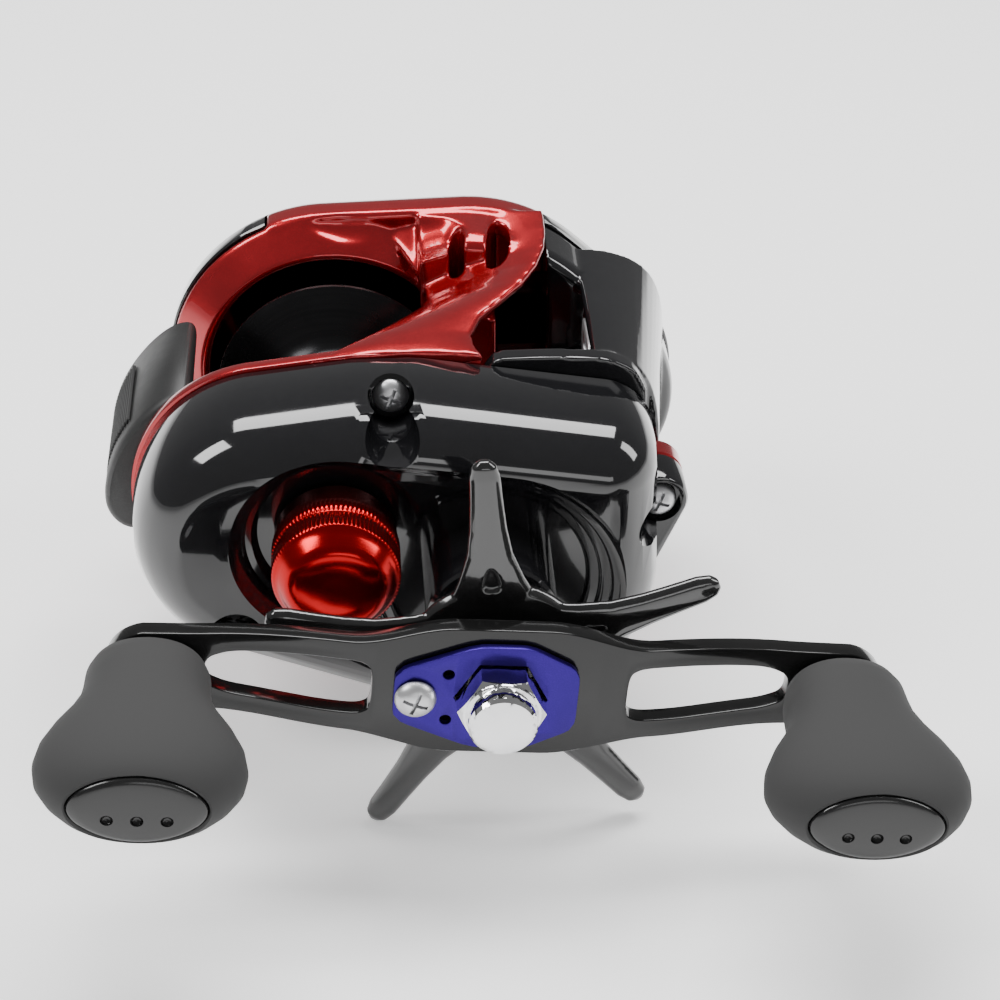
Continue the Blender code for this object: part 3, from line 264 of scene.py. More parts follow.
# ---- shaping ----------------------------------------------------------------------------
class Form:
    """A shape being made with bmesh operators, in millimetres from the spool's axis."""

    def __init__(self) -> None:
        """Start empty."""
        self.bm = bmesh.new()

    def loop(self, points: Iterable[Point]) -> list[bmesh.types.BMEdge]:
        """Add a closed run of edges through the points and give back its edges."""
        verts = [self.bm.verts.new(point) for point in points]
        return [self.bm.edges.new(pair) for pair in zip(verts, verts[1:] + verts[:1])]

    def tidy(self, gap: float = 1e-4) -> "Form":
        """Merge doubles and turn the faces outwards."""
        bmesh.ops.remove_doubles(self.bm, verts=self.bm.verts, dist=gap)
        bmesh.ops.recalc_face_normals(self.bm, faces=self.bm.faces)
        return self

    def soften(self, width: float, segments: int = 2, angle: float = 35.0) -> "Form":
        """Bevel the sharp edges.

        Args:
            width: of the bevel, in millimetres.
            segments: of the bevel.
            angle: edges sharper than this, in degrees, are bevelled.

        Returns:
            The same form.
        """
        sharp = [edge for edge in self.bm.edges
                 if len(edge.link_faces) == 2 and edge.calc_face_angle(0.0) > math.radians(angle)]
        bmesh.ops.bevel(self.bm, geom=sharp, offset=width, offset_type="OFFSET", segments=segments,
                        profile=0.5, affect="EDGES", clamp_overlap=True, material=-1)
        return self

    def moved(self, change: Callable[[Vector], Vector]) -> "Form":
        """Move every vertex by a rule that takes and gives a place."""
        for vert in self.bm.verts:
            vert.co = change(vert.co.copy())
        return self

    def turned_by(self, matrix: Matrix) -> "Form":
        """Put the shape through a matrix."""
        bmesh.ops.transform(self.bm, matrix=matrix, verts=self.bm.verts)
        return self

    def mesh(self, name: str) -> bpy.types.Mesh:
        """Give the shape as a mesh and free the bmesh."""
        made = bpy.data.meshes.new(name)
        self.bm.to_mesh(made)
        self.bm.free()
        return made


def plate(outlines: Sequence[Sequence[Flat]], y_out: float, y_in: float,
          centre: Flat = SPOOL) -> Form:
    """Make a plate from a flat outline.

    Args:
        outlines: the outline in XZ, then its holes.
        y_out: place of the outer face.
        y_in: place of the inner face.
        centre: what the outlines are measured from.

    Returns:
        A new form.
    """
    form = Form()
    edges = []
    for outline in outlines:
        edges += form.loop((centre[0] + x, y_out, centre[1] + z) for x, z in outline)
    bmesh.ops.triangle_fill(form.bm, use_beauty=True, use_dissolve=True, edges=edges)
    grown = bmesh.ops.extrude_face_region(form.bm, geom=form.bm.faces[:])
    verts = [item for item in grown["geom"] if isinstance(item, bmesh.types.BMVert)]
    bmesh.ops.translate(form.bm, vec=(0.0, y_in - y_out, 0.0), verts=verts)
    return form.tidy()


def spun(profile: Sequence[Flat], centre: Flat = SPOOL, steps: int = 96) -> Form:
    """Spin a profile about the y axis.

    Args:
        profile: points of (radius, y).
        centre: x and z of the axis.
        steps: faces round the axis.

    Returns:
        A new form.
    """
    form = Form()
    verts = [form.bm.verts.new((centre[0] + radius, y, centre[1])) for radius, y in profile]
    pairs = list(zip(verts, verts[1:]))
    if profile[0][0] > 1e-6:
        pairs.append((verts[-1], verts[0]))
    edges = [form.bm.edges.new(pair) for pair in pairs]
    bmesh.ops.spin(form.bm, geom=verts + edges, cent=(centre[0], 0.0, centre[1]),
                   axis=(0.0, 1.0, 0.0), dvec=(0.0, 0.0, 0.0), angle=2 * math.pi, steps=steps,
                   use_merge=True, use_duplicate=False)
    return form.tidy()


def lofted(sections: Sequence[Sequence[Point]]) -> Form:
    """Skin closed sections, with both ends closed.

    Args:
        sections: runs of points, all of one count.

    Returns:
        A new form.
    """
    form = Form()
    rings = [form.loop(section) for section in sections]
    for near, far in zip(rings, rings[1:]):
        bmesh.ops.bridge_loops(form.bm, edges=near + far)
    for ring in (rings[0], rings[-1]):
        bmesh.ops.contextual_create(form.bm, geom=ring)
    return form.tidy()


def hull(circles: Sequence[Point], grow: float = 0.0, count: int = 120) -> list[Flat]:
    """Outline round circles.

    Args:
        circles: each as (x, z, radius).
        grow: how far outside them the outline runs.
        count: points in the outline.

    Returns:
        The outline's points.
    """
    points = []
    for index in range(count):
        angle = 2 * math.pi * index / count
        nx, nz = math.cos(angle), math.sin(angle)
        x, z, radius = max(circles, key=lambda c: c[0] * nx + c[1] * nz + c[2])
        points.append((x + (radius + grow) * nx, z + (radius + grow) * nz))
    return points


def rounded(points: Sequence[Flat], rounds: int = 3, keep: float = 0.25) -> list[Flat]:
    """Round an outline by cutting its corners.

    Args:
        points: the closed outline.
        rounds: how often the corners are cut.
        keep: share of each side that a cut takes.

    Returns:
        The smoother outline.
    """
    for _ in range(rounds):
        cut = []
        for (ax, az), (bx, bz) in zip(points, list(points[1:]) + [points[0]]):
            cut.append((ax + (bx - ax) * keep, az + (bz - az) * keep))
            cut.append((bx - (bx - ax) * keep, bz - (bz - az) * keep))
        points = cut
    return list(points)


def domed(circles: Sequence[Point], levels: Sequence[Flat], count: int = 120) -> Form:
    """Loft an outline of circles.

    Args:
        circles: each as (x, z, radius).
        levels: sections as (y, grow).
        count: points in each section.

    Returns:
        A new form.
    """
    return lofted([[(x, y, z) for x, z in hull(circles, grow, count)] for y, grow in levels])


def smooth_step(value: float, start: float, end: float) -> float:
    """Ease from 0 at start to 1 at end."""
    share = min(1.0, max(0.0, (value - start) / (end - start)))
    return share * share * (3 - 2 * share)


class Cut(Enum):
    """How one shape is joined with another."""

    ADD = "UNION"
    TAKE = "DIFFERENCE"
    KEEP = "INTERSECT"


def worked(base: Form, *steps: tuple[Cut, Form], voxel: float = 0.0, smoothing: int = 0) -> Form:
    """Add and take shapes, then cast the result as one smooth skin where a voxel size is given.

    Args:
        base: the shape to start from.
        steps: what is done, and with which shape, in order.
        voxel: size of the cast skin's grain, or 0 to leave the cuts as they are.
        smoothing: how many times the cast skin is smoothed.

    Returns:
        A new form.
    """
    target = bpy.data.objects.new("working", base.mesh("working"))
    bpy.context.scene.collection.objects.link(target)
    tools = []
    for kind, form in steps:
        tool = bpy.data.objects.new("tool", form.mesh("tool"))
        bpy.context.scene.collection.objects.link(tool)
        tools.append(tool)
        modifier = target.modifiers.new(kind.name, "BOOLEAN")
        modifier.operation = kind.value
        modifier.object = tool
        modifier.solver = "EXACT"
    if voxel:
        cast = target.modifiers.new("cast", "REMESH")
        cast.mode = "VOXEL"
        cast.voxel_size = voxel
        if smoothing:
            ease = target.modifiers.new("ease", "SMOOTH")
            ease.factor = 0.5
            ease.iterations = smoothing
    graph = bpy.context.evaluated_depsgraph_get()
    mesh = bpy.data.meshes.new_from_object(target.evaluated_get(graph))
    form = Form()
    form.bm.from_mesh(mesh)
    for obj in [target, *tools]:
        bpy.data.objects.remove(obj, do_unlink=True)
    bpy.data.meshes.remove(mesh)
    return form


def cylinder(radius: float, y_out: float, y_in: float, centre: Flat = SPOOL,
             steps: int = 64) -> Form:
    """Plain round tool for holes and bosses."""
    return spun([(0.0, y_out), (radius, y_out), (radius, y_in), (0.0, y_in)], centre, steps)


def block(low: Point, high: Point) -> Form:
    """Box-shaped tool between two corners."""
    form = Form()
    bmesh.ops.create_cube(form.bm, size=1.0)
    bmesh.ops.scale(form.bm, vec=[b - a for a, b in zip(low, high)], verts=form.bm.verts)
    bmesh.ops.translate(form.bm, vec=[(a + b) / 2 for a, b in zip(low, high)], verts=form.bm.verts)
    return form


@dataclass
class Bench:
    """Finishes pieces: puts them in the row frame, dresses them and makes them ride."""

    made: list[str] = field(default_factory=list)

    def piece(self, name: str, form: Form, finish: Finish, body: str,
              stands_for: Sequence[str] = (), angle: float = 32.0) -> bpy.types.Object:
        """Finish one piece.

        Args:
            name: the piece's name.
            form: its shape, in millimetres from the spool's axis.
            finish: what covers it.
            body: the CAD body that it rides on.
            stands_for: CAD nodes that it replaces.
            angle: edges sharper than this, in degrees, stay crisp.

        Returns:
            The finished object.
        """
        bmesh.ops.scale(form.bm, vec=(MM, MM, MM), verts=form.bm.verts)
        bmesh.ops.translate(form.bm, vec=ORIGIN, verts=form.bm.verts)
        mesh = form.mesh(name)
        mesh.materials.clear()
        mesh.materials.append(finish.material())
        mesh.shade_smooth()
        mesh.set_sharp_from_angle(angle=math.radians(angle))
        obj = bpy.data.objects.new(name, mesh)
        bpy.context.scene.collection.objects.link(obj)
        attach(obj, body)
        if stands_for:
            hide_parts(*stands_for)
        self.made.append(name)
        LOG.info("%s: %d faces", name, len(mesh.polygons))
        return obj

    def dress(self, finish: Finish, *nodes: str) -> None:
        """Give CAD nodes whose shape is kept their finish."""
        for node in nodes:
            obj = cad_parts[node]
            obj.data.materials.clear()
            obj.data.materials.append(finish.material())


HANDLE_SIDE = ((-8.5, -1.5, 19.5), (4.0, 0.5, 19.0), (10.0, 1.5, 18.0), (*DRIVE, 24.0),
               (36.0, 7.0, 8.3))
PALM_SIDE = ((0.0, 0.0, 24.3), (20.0, 1.5, 23.3), (33.0, -3.0, 17.8), (15.0, -9.0, 21.0))
PALM_RING = ((0.0, 0.0, 24.0), (19.0, 1.2, 23.0), (24.0, -6.0, 17.0))


# ---- body of the reel -------------------------------------------------------------------
@dataclass
class RedFrame:
    """Cast frame: arch, thumb rest, handle-side wall, deck and lug boss."""

    lip: float = 18.3
    voxel: float = 0.3
    skin_levels: tuple = ((19.0, -0.4), (19.6, 0.15), (22.8, 0.15), (24.0, -0.2), (24.4, -0.8))
    skin_block: tuple = ((-9.0, 18.0, 14.0), (31.4, 25.0, 26.0))
    rest: tuple = ((-14.1, -3.0, 19.6, 20.8, 19.9), (-12.2, 0.5, 20.1, 19.9, 20.1),
                   (-9.0, 4.8, 20.3, 19.4, 20.3), (-5.0, 8.2, 19.8, 20.9, 20.9),
                   (-1.0, 10.7, 19.0, 24.2, 21.5), (3.0, 12.6, 18.0, 27.4, 22.1),
                   (7.0, 13.8, 17.2, 29.6, 22.7), (11.0, 13.6, 17.4, 30.9, 23.3),
                   (15.0, 11.5, 19.4, 31.4, 23.9), (19.9, 8.0, 22.6, 31.4, 24.5))

    def section(self, y: float, left: float, z_left: float, right: float,
                z_right: float) -> list[Point]:
        """One section of the thumb rest, with a crowned top and thinner edges.

        Args:
            y: place of the section.
            left: x of its rear end.
            z_left: height there.
            right: x of its front end.
            z_right: height there.

        Returns:
            The section's points.
        """
        top, under = [], []
        for index in range(13):
            share = index / 12
            x = left + (right - left) * share
            z = z_left + (z_right - z_left) * share
            crown = 1.0 * math.sin(math.pi * share) ** 0.8
            top.append((x, y, z + crown * 0.8 - 0.45))
            under.append((x, y, z - 1.7 - 0.7 * math.sin(math.pi * share)))
        return top + under[::-1]

    def scoop(self) -> Form:
        """Long hollow worn into the arch beside the two windows."""
        path = ((-4.0, 18.4, 23.6, 0.4), (-1.5, 17.6, 23.6, 1.6), (1.5, 16.6, 23.8, 2.8),
                (5.0, 15.2, 24.2, 4.0), (9.0, 13.9, 24.8, 5.0), (13.0, 13.2, 25.7, 5.4),
                (17.0, 13.0, 26.8, 5.2), (20.0, 13.2, 28.2, 4.2))
        sections = []
        for x, y, z, radius in path:
            sections.append([(x, y + radius * math.cos(a), z + radius * math.sin(a))
                             for a in (2 * math.pi * k / 24 for k in range(24))])
        return lofted(sections)

    def arch(self) -> Form:
        """Arch and thumb rest cast as one skin."""
        ring = domed(PALM_RING, ((10.6, -1.6), (11.4, -0.7), (13.0, -0.1), (19.2, 0.2),
                                 (20.0, 0.0)))
        band = spun([(self.lip, 21.0), (self.lip, 16.6), (self.lip + 0.5, 15.9),
                     (self.lip + 1.2, 15.8), (24.0, 19.2), (24.6, 20.5), (60.0, 20.5), (60.0, 0.0),
                     (0.0, 0.0), (0.0, 21.0)], steps=128)
        near = worked(band, (Cut.KEEP, block((-27.0, 0.0, -3.0), (13.0, 30.0, 40.0))))
        thumb = lofted([self.section(*station) for station in self.rest])
        skin = worked(domed(PALM_SIDE, self.skin_levels), (Cut.KEEP, block(*self.skin_block)),
                      (Cut.TAKE, domed(PALM_SIDE, ((20.2, -1.3), (30.0, -1.3)))))
        windows = []
        for outline in (((17.2, 9.4), (19.3, 9.2), (19.7, 15.8), (17.4, 15.0)),
                        ((22.2, 8.4), (24.5, 8.2), (26.3, 12.8), (25.8, 16.9), (23.5, 17.9))):
            flat = plate([rounded(outline)], 0.0, 16.0)
            windows.append(flat.moved(lambda p: Vector((p.x, p.z, p.y + 11.0))).tidy())
        hole = cylinder(self.lip, 8.0, 22.0, steps=128)
        side = block((24.0, 0.0, 2.0), (60.0, 40.0, 21.2))
        steps = [(Cut.TAKE, near), (Cut.TAKE, side), (Cut.ADD, thumb), (Cut.ADD, skin),
                 (Cut.TAKE, self.scoop()), (Cut.TAKE, hole)]
        steps += [(Cut.TAKE, window) for window in windows]
        steps.append((Cut.TAKE, block((31.4, 0.0, 5.0), (60.0, 40.0, 30.0))))
        return worked(ring, *steps, voxel=self.voxel, smoothing=14)

    def build(self, bench: Bench) -> None:
        """Make the frame's pieces."""
        bench.piece("frame_arch", self.arch(), RED, "frame", ("frame",), angle=60.0)
        wall = plate([hull(HANDLE_SIDE, 0.4)], -14.0, -12.2)
        wall = worked(wall, (Cut.TAKE, block((20.5, -15.0, 5.5), (60.0, -11.0, 30.0))),
                      (Cut.TAKE, cylinder(4.2, -15.0, -11.0)),
                      (Cut.TAKE, cylinder(4.6, -15.0, -11.0, DRIVE)))
        bench.piece("frame_wall", wall.soften(0.25, 2, 50.0), RED, "frame")
        deck = [(-17, -20.6), (39, -20.6), (39, -15.5), (33.5, -15.5), (31, -18.2), (-13, -18.2),
                (-16, -14.4), (-20.5, -14.4)]
        bench.piece("frame_deck", plate([deck], -12.4, 10.8).soften(0.4, 3), RED, "frame")
        boss = spun([(1.1, -15.8), (3.7, -15.8), (4.1, -15.4), (4.1, -12.4), (1.1, -12.4)], LUG, 64)
        boss = worked(boss, (Cut.TAKE, plate([hull(HANDLE_SIDE, 0.5)], -17.0, -13.8)))
        bench.piece("frame_lug", boss, RED, "frame")


@dataclass
class HandleCover:
    """Gloss gear cover with its bowls, bosses and front lug."""

    levels: tuple = ((-14.3, -0.1), (-14.6, 0.0), (-21.0, -0.15), (-25.5, -0.6), (-28.0, -1.6),
                     (-29.8, -3.0), (-31.1, -4.7), (-31.8, -6.2), (-32.0, -7.6))

    def outer(self) -> Form:
        """The cover's outside, before anything is cut."""
        return domed(HANDLE_SIDE, self.levels)

    def bowls(self) -> list[tuple[Cut, Form]]:
        """Everything that is sunk into the outer face."""
        valley = ((0.0, 0.0, 13.4), (DRIVE[0], DRIVE[1], 18.2))
        shared = domed(valley, ((-36.0, 1.9), (-32.4, 1.3), (-31.6, 0.6), (-30.8, -0.1),
                                (-30.2, -1.1), (-29.9, -2.6)))
        cap = spun([(0.0, -40.0), (14.2, -40.0), (12.9, -30.6), (12.4, -29.8), (12.2, -28.9),
                    (11.4, -28.6), (11.2, -27.6), (10.6, -27.1), (0.0, -27.0)])
        drive = spun([(0.0, -40.0), (18.0, -40.0), (16.9, -30.9), (16.6, -29.6), (15.6, -29.2),
                      (15.3, -28.9), (15.1, -28.3), (14.0, -28.0), (13.7, -27.7), (13.4, -27.05),
                      (0.0, -27.0)], DRIVE)
        return [(Cut.TAKE, shared), (Cut.TAKE, cap), (Cut.TAKE, drive)]

    def build(self, bench: Bench) -> None:
        """Make the cover and its screws."""
        lug = domed(((*LUG, 4.1), (38.0, -3.0, 4.0), (42.5, -9.0, 2.5)),
                    ((-22.0, -0.7), (-21.8, -0.3), (-21.3, 0.0), (-16.1, 0.0)))
        inner = domed(HANDLE_SIDE, ((-25.2, -3.4), (-24.0, -2.3), (-22.0, -1.8), (-13.0, -1.8)))
        neck = spun([(2.3, -25.3), (6.8, -25.3), (6.8, -36.6), (6.4, -37.0), (2.3, -37.0)])
        housing = spun([(6.6, -25.3), (9.0, -25.3), (9.0, -37.6), (8.6, -38.0), (6.6, -38.0)],
                       DRIVE)
        steps = [(Cut.ADD, lug), *self.bowls(), (Cut.TAKE, inner),
                 (Cut.TAKE, cylinder(6.0, -30.0, -24.0, DRIVE)),
                 (Cut.TAKE, cylinder(2.2, -30.0, -24.0)), (Cut.ADD, neck), (Cut.ADD, housing)]
        for (x, z), seat in (((8.0, 16.2), -18.4), ((-14.0, -13.5), -18.4), (LUG, -20.6)):
            if seat == -18.4:
                boss = worked(cylinder(4.6, -27.0, -14.5, (x, z)),
                              (Cut.KEEP, domed(HANDLE_SIDE, ((-30.0, -1.0), (-14.0, -1.0)))))
                steps.append((Cut.ADD, boss))
            steps.append((Cut.TAKE, spun([(0.0, -34.0), (3.9, -34.0), (3.4, -27.5), (3.2, -26.5),
                                          (3.2, seat), (1.1, seat), (1.1, -13.0), (0.0, -13.0)],
                                         (x, z), 64)))
        head = Matrix.Translation((8.0, -19.0, 16.2))
        tilted = head @ Matrix.Rotation(math.radians(-32.0), 4, "X")
        steps.append((Cut.TAKE, spun([(0.0, -22.0), (3.3, -22.0), (3.1, -6.0), (3.0, 0.0),
                                      (0.0, 0.0)]).turned_by(tilted)))
        cover = worked(self.outer(), *steps)
        bench.piece("gear_cover", cover.soften(0.16, 2, 42.0), COVER, "frame",
                    ("handle_side_cover",))
        for name, place, seat in (("cover_screw_top", (8.0, 16.2), -18.7),
                                  ("cover_screw_low", (-14.0, -13.5), -18.7),
                                  ("cover_screw_front", LUG, -20.9)):
            bench.piece(name + "_head", pan_screw(place, seat, 2.5, 1.5, 6.2), STEEL, "frame",
                        (name,))


def pan_screw(place: Flat, seat: float, radius: float, height: float, shank: float,
              turn: float = 0.4) -> Form:
    """Pan head with a cross recess, and its shank.

    Args:
        place: x and z of the axis.
        seat: y of the head's underside.
        radius: of the head.
        height: of the head.
        shank: length under the head.
        turn: how far the cross is turned, in radians.

    Returns:
        The screw's shape.
    """
    top = seat - height
    head = spun([(0.0, top), (radius * 0.35, top + 0.03), (radius * 0.6, top + 0.14 * height),
                 (radius * 0.84, top + 0.38 * height), (radius * 0.97, top + 0.68 * height),
                 (radius, top + 0.85 * height), (radius, seat - 0.05), (radius - 0.05, seat),
                 (1.0, seat), (1.0, seat + shank), (0.0, seat + shank)],
                place, 64)
    arms = []
    for quarter in range(2):
        bar = plate([[(-radius * 0.62, -0.24), (radius * 0.62, -0.24), (radius * 0.62, 0.24),
                      (-radius * 0.62, 0.24)]],
                    top - 1.0, top + height * 0.62, place)
        centre = Matrix.Translation((place[0], 0.0, place[1]))
        turned = centre @ Matrix.Rotation(turn + quarter * math.pi / 2, 4, "Y") @ centre.inverted()
        arms.append((Cut.TAKE, bar.turned_by(turned)))
    return worked(head, *arms).soften(0.06, 2, 50.0)


@dataclass
class Nose:
    """Gloss nose cover: cheeks, visor and line window."""

    voxel: float = 0.32

    def build(self, bench: Bench) -> None:
        """Make the nose."""
        face = [(36, 17.9), (40, 17.4), (43.5, 14.6), (45.4, 9), (45.8, 1), (45.2, -8),
                (43.0, -15.0), (39.5, -18.0), (39.5, -14.6), (41.0, -12.5), (42.6, -7.5), (43.2, 1),
                (42.6, 8), (40.6, 12.6), (38.5, 14.8), (36, 15.4)]
        sections = []
        for index in range(17):
            y = -12.0 + 31.5 * index / 16
            lean = 0.13 * (y + 11.2)
            sections.append([(x + lean * smooth_step(x, 36, 46), y, z) for x,
                             z in rounded(face, 2)])
        visor = lofted(sections)
        cheek = plate([rounded([(20.8, 5.8), (43.0, 5.8), (43.6, 12.5), (41.8, 16.2), (38, 18.2),
                                (30, 18.7), (20.8, 18.6)],
                               2, 0.18)], -14.1, -11.4)
        palm = domed(PALM_SIDE, ((10.3, -1.5), (11.0, -0.7), (12.3, -0.3), (19.4, -0.2),
                                 (20.0, -0.4)))
        palm = worked(palm, (Cut.TAKE, block((-60.0, 0.0, -60.0), (31.3, 40.0, 60.0))),
                      (Cut.TAKE, block((20.0, 0.0, -60.0), (43.9, 40.0, 5.3))),
                      (Cut.TAKE, block((43.0, 0.0, -60.0), (60.0, 40.0, -14.0))))
        window = plate([rounded([(-7.5, -9), (6.5, -9), (6.5, 2), (-7.5, 2)], 3, 0.15)], 0.0, 30.0)
        window.moved(lambda p: Vector((p.y + 37.0, p.x, p.z))).tidy()
        nose = worked(visor, (Cut.ADD, cheek), (Cut.ADD, palm), (Cut.TAKE, window),
                      voxel=self.voxel, smoothing=4)
        bench.piece("nose_cover", nose, COVER, "frame", ("front_cover",), angle=60.0)


@dataclass
class PalmCover:
    """Domed palm-side cover with its brake dial."""

    def build(self, bench: Bench) -> None:
        """Make the cover and the dial."""
        shell = domed(PALM_SIDE, ((20.3, -0.1), (20.6, 0.15), (23.0, 0.05), (25.4, -0.9),
                                  (27.4, -2.6), (28.8, -4.8), (29.6, -7.2), (30.0, -10.4)))
        inner = domed(PALM_SIDE, ((27.4, -6.0), (26.2, -4.2), (24.0, -3.3), (19.0, -3.2)))
        boss = spun([(4.1, 21.0), (5.8, 21.0), (5.8, 27.6), (4.1, 27.6)])
        recess = spun([(0.0, 25.0), (1.6, 25.0), (1.6, 28.6), (10.9, 28.6), (11.2, 32.0),
                       (0.0, 32.0)])
        under = worked(domed(PALM_SIDE, ((19.0, 1.5), (24.5, 1.5))),
                       (Cut.KEEP, block((-9.3, 18.0, 13.7), (31.7, 25.0, 26.5))),
                       (Cut.TAKE, domed(PALM_SIDE, ((18.0, -1.4), (30.0, -1.4)))))
        cover = worked(shell, (Cut.TAKE, inner), (Cut.ADD, boss), (Cut.TAKE, recess),
                       (Cut.TAKE, under))
        bench.piece("palm_cover_shell", cover.soften(0.2, 2, 42.0), COVER, "palm_cover",
                    ("palm_side_cover",))
        dial = spun([(0.0, 25.4), (1.5, 25.4), (1.5, 28.9), (10.5, 28.9), (10.6, 29.0),
                     (10.6, 30.5), (10.2, 30.9), (9.6, 31.2), (0.0, 31.2)], SPOOL, 180)
        dial.moved(lambda p: self.milled(p))
        grips = [(Cut.TAKE, plate([hull(((side * 5.5, -6.0, 2.6), (side * 5.5, 6.0, 2.6)),
                                        count=48)], 30.2, 33.0))
                 for side in (-1, 1)]
        bench.piece("brake_dial_knob", worked(dial, *grips).soften(0.15, 2, 45.0), PLASTIC,
                    "brake_dial", ("brake_dial",))

    def milled(self, place: Vector) -> Vector:
        """Fine ridges round the dial's edge."""
        radius = math.hypot(place.x, place.z)
        if radius < 10.4 or place.y > 30.7 or place.y < 29.0:
            return place
        share = 1.0 - 0.014 * (0.5 + 0.5 * math.cos(60 * math.atan2(place.z, place.x)))
        return Vector((place.x * share, place.y, place.z * share))


@dataclass
class SpoolSet:
    """Line spool: arbor and two flanges."""

    def build(self, bench: Bench) -> None:
        """Make the spool."""
        profile = [(1.27, -10.5), (3.2, -10.5), (3.4, -10.2), (14.4, -10.5), (15.2, -11.5),
                   (15.6, -11.7), (16.7, -11.7), (17.0, -11.4), (17.0, -10.9), (16.6, -10.6),
                   (14.0, -8.9), (11.0, -7.1), (9.6, -6.0), (9.1, -4.8), (9.0, -3.5), (9.0, 3.7),
                   (9.1, 5.0), (9.6, 6.2), (11.0, 7.3), (14.0, 9.1), (16.6, 10.8), (17.0, 11.1),
                   (17.0, 11.6), (16.7, 11.9), (15.6, 11.9), (9.6, 10.3), (1.27, 10.3)]
        spool = spun(profile, SPOOL, 128)
        bench.piece("line_spool", spool, SPOOL_BLACK, "spool", ("spool",))


@dataclass
class ThumbBar:
    """Clutch bar with a hatched pad."""

    outline: tuple = ((-26.6, 9.6), (-30.4, 4.4), (-32.3, -1), (-32.6, -5.2), (-31.4, -7.9),
                      (-29.4, -9.3), (-27.6, -9.0), (-24.2, -5.4), (-22.0, 0), (-20.2, 6),
                      (-19.0, 13.0), (-22.4, 13.0))

    def build(self, bench: Bench) -> None:
        """Make the bar, its lug and its pad of fine ribs."""
        levels = ((-11.9, 0.86), (-11.5, 0.94), (-10.6, 1.0), (9.0, 1.0), (9.9, 0.94), (10.3, 0.86))
        smooth = rounded(self.outline, 3)
        cx = sum(x for x, _ in smooth) / len(smooth)
        cz = sum(z for _, z in smooth) / len(smooth)
        sections = [[(cx + (x - cx) * s, y, cz + (z - cz) * s) for x, z in smooth] for y,
                    s in levels]
        lug = cylinder(1.6, -15.9, -10.0, (-24.0, 1.0))
        bench.piece("clutch_bar", worked(lofted(sections), (Cut.ADD, lug)), BAR, "thumb_bar",
                    ("thumb_bar",), angle=40.0)
        pad = Form()
        for index in range(26):
            z = 7.4 - 0.56 * index
            x = -32.05 + 0.036 * (z + 3.0) ** 2 * 0.9
            rib = bmesh.ops.create_cube(pad.bm, size=1.0)["verts"]
            bmesh.ops.scale(pad.bm, vec=(0.5, 15.0, 0.3), verts=rib)
            bmesh.ops.translate(pad.bm, vec=(x, -1.0, z), verts=rib)
        bench.piece("clutch_bar_ribs", pad.soften(0.08, 1), BAR, "thumb_bar")


@dataclass
class CastControl:
    """Red anodised cast-control cap with two knurled bands."""

    def build(self, bench: Bench) -> None:
        """Make the cap."""
        outer = [(0.0, -41.2), (1.6, -41.25), (3.4, -41.5), (5.2, -41.45), (6.1, -41.2),
                 (6.9, -40.5), (7.6, -39.2), (8.2, -38.5), (8.5, -38.3), (8.62, -38.1),
                 (8.62, -35.2), (8.3, -35.0), (8.3, -34.5), (8.62, -34.3), (8.62, -31.6),
                 (8.3, -31.3), (8.3, -28.6), (8.2, -28.5)]
        cap = spun(outer + [(6.9, -28.5), (6.9, -39.3), (0.0, -39.3)], SPOOL, 360)
        cap.moved(self.knurled)
        bench.piece("cast_cap", cap, RED_CAP, "cast_control", ("cast_control_cap",), angle=50.0)

    def knurled(self, place: Vector) -> Vector:
        """Straight ridges on the two bands."""
        radius = math.hypot(place.x, place.z)
        if radius < 8.55:
            return place
        share = 1.0 - 0.02 * (0.5 + 0.5 * math.cos(90 * math.atan2(place.z, place.x)))
        return Vector((place.x * share, place.y, place.z * share))


# ---- handle and drag --------------------------------------------------------------------
@dataclass
class StarWheel:
    """Five-armed drag wheel with raised spines."""

    reach: float = 31.0
    first: float = math.radians(93.0)

    def arm(self, angle: float) -> Form:
        """One tapering arm, thickest along its spine.

        Args:
            angle: where it points, in radians.

        Returns:
            A new form.
        """
        stations = ((9.0, 6.0, 1.3, -46.6), (13.0, 4.3, 1.3, -46.7), (17.0, 3.0, 1.25, -46.75),
                    (21.0, 2.45, 1.2, -46.75), (25.0, 2.2, 1.2, -46.7), (28.5, 2.05, 1.2, -46.65),
                    (30.2, 1.6, 1.0, -46.65), (31.0, 0.7, 0.5, -46.65))
        sections = []
        for radius, half, thick, y in stations:
            ring = []
            for k in range(20):
                a = 2 * math.pi * k / 20
                side, up = half * math.copysign(abs(math.cos(a)) ** 0.8,
                                                math.cos(a)), thick * math.sin(a)
                ring.append((DRIVE[0] + radius * math.cos(angle) - side * math.sin(angle), y + up,
                             DRIVE[1] + radius * math.sin(angle) + side * math.cos(angle)))
            sections.append(ring)
        return lofted(sections)

    def build(self, bench: Bench) -> None:
        """Make the wheel."""
        hub = spun([(3.1, -47.6), (6.0, -47.9), (9.5, -47.9), (11.6, -47.4), (12.3, -46.5),
                    (12.0, -45.6), (10.0, -45.3), (7.2, -45.2), (7.0, -44.8), (7.0, -41.0),
                    (3.1, -41.0)], DRIVE)
        angles = [self.first + 2 * math.pi * k / 5 for k in range(5)]
        steps = [(Cut.ADD, self.arm(angle)) for angle in angles]
        for angle in angles:
            spot = (DRIVE[0] + 13.2 * math.cos(angle), DRIVE[1] + 13.2 * math.sin(angle))
            ax, az = math.cos(angle), math.sin(angle)
            triangle = [(spot[0] + u * ax - v * az, spot[1] + u * az + v * ax)
                        for u, v in rounded([(3.2, 0.0), (-1.5, 1.7), (-1.5, -1.7)], 2)]
            steps.append((Cut.TAKE, plate([triangle], -49.0, -47.45)))
        wheel = worked(hub, *steps, voxel=0.22, smoothing=3)
        bench.piece("star_wheel", wheel, STAR, "star", ("star_drag",), angle=60.0)


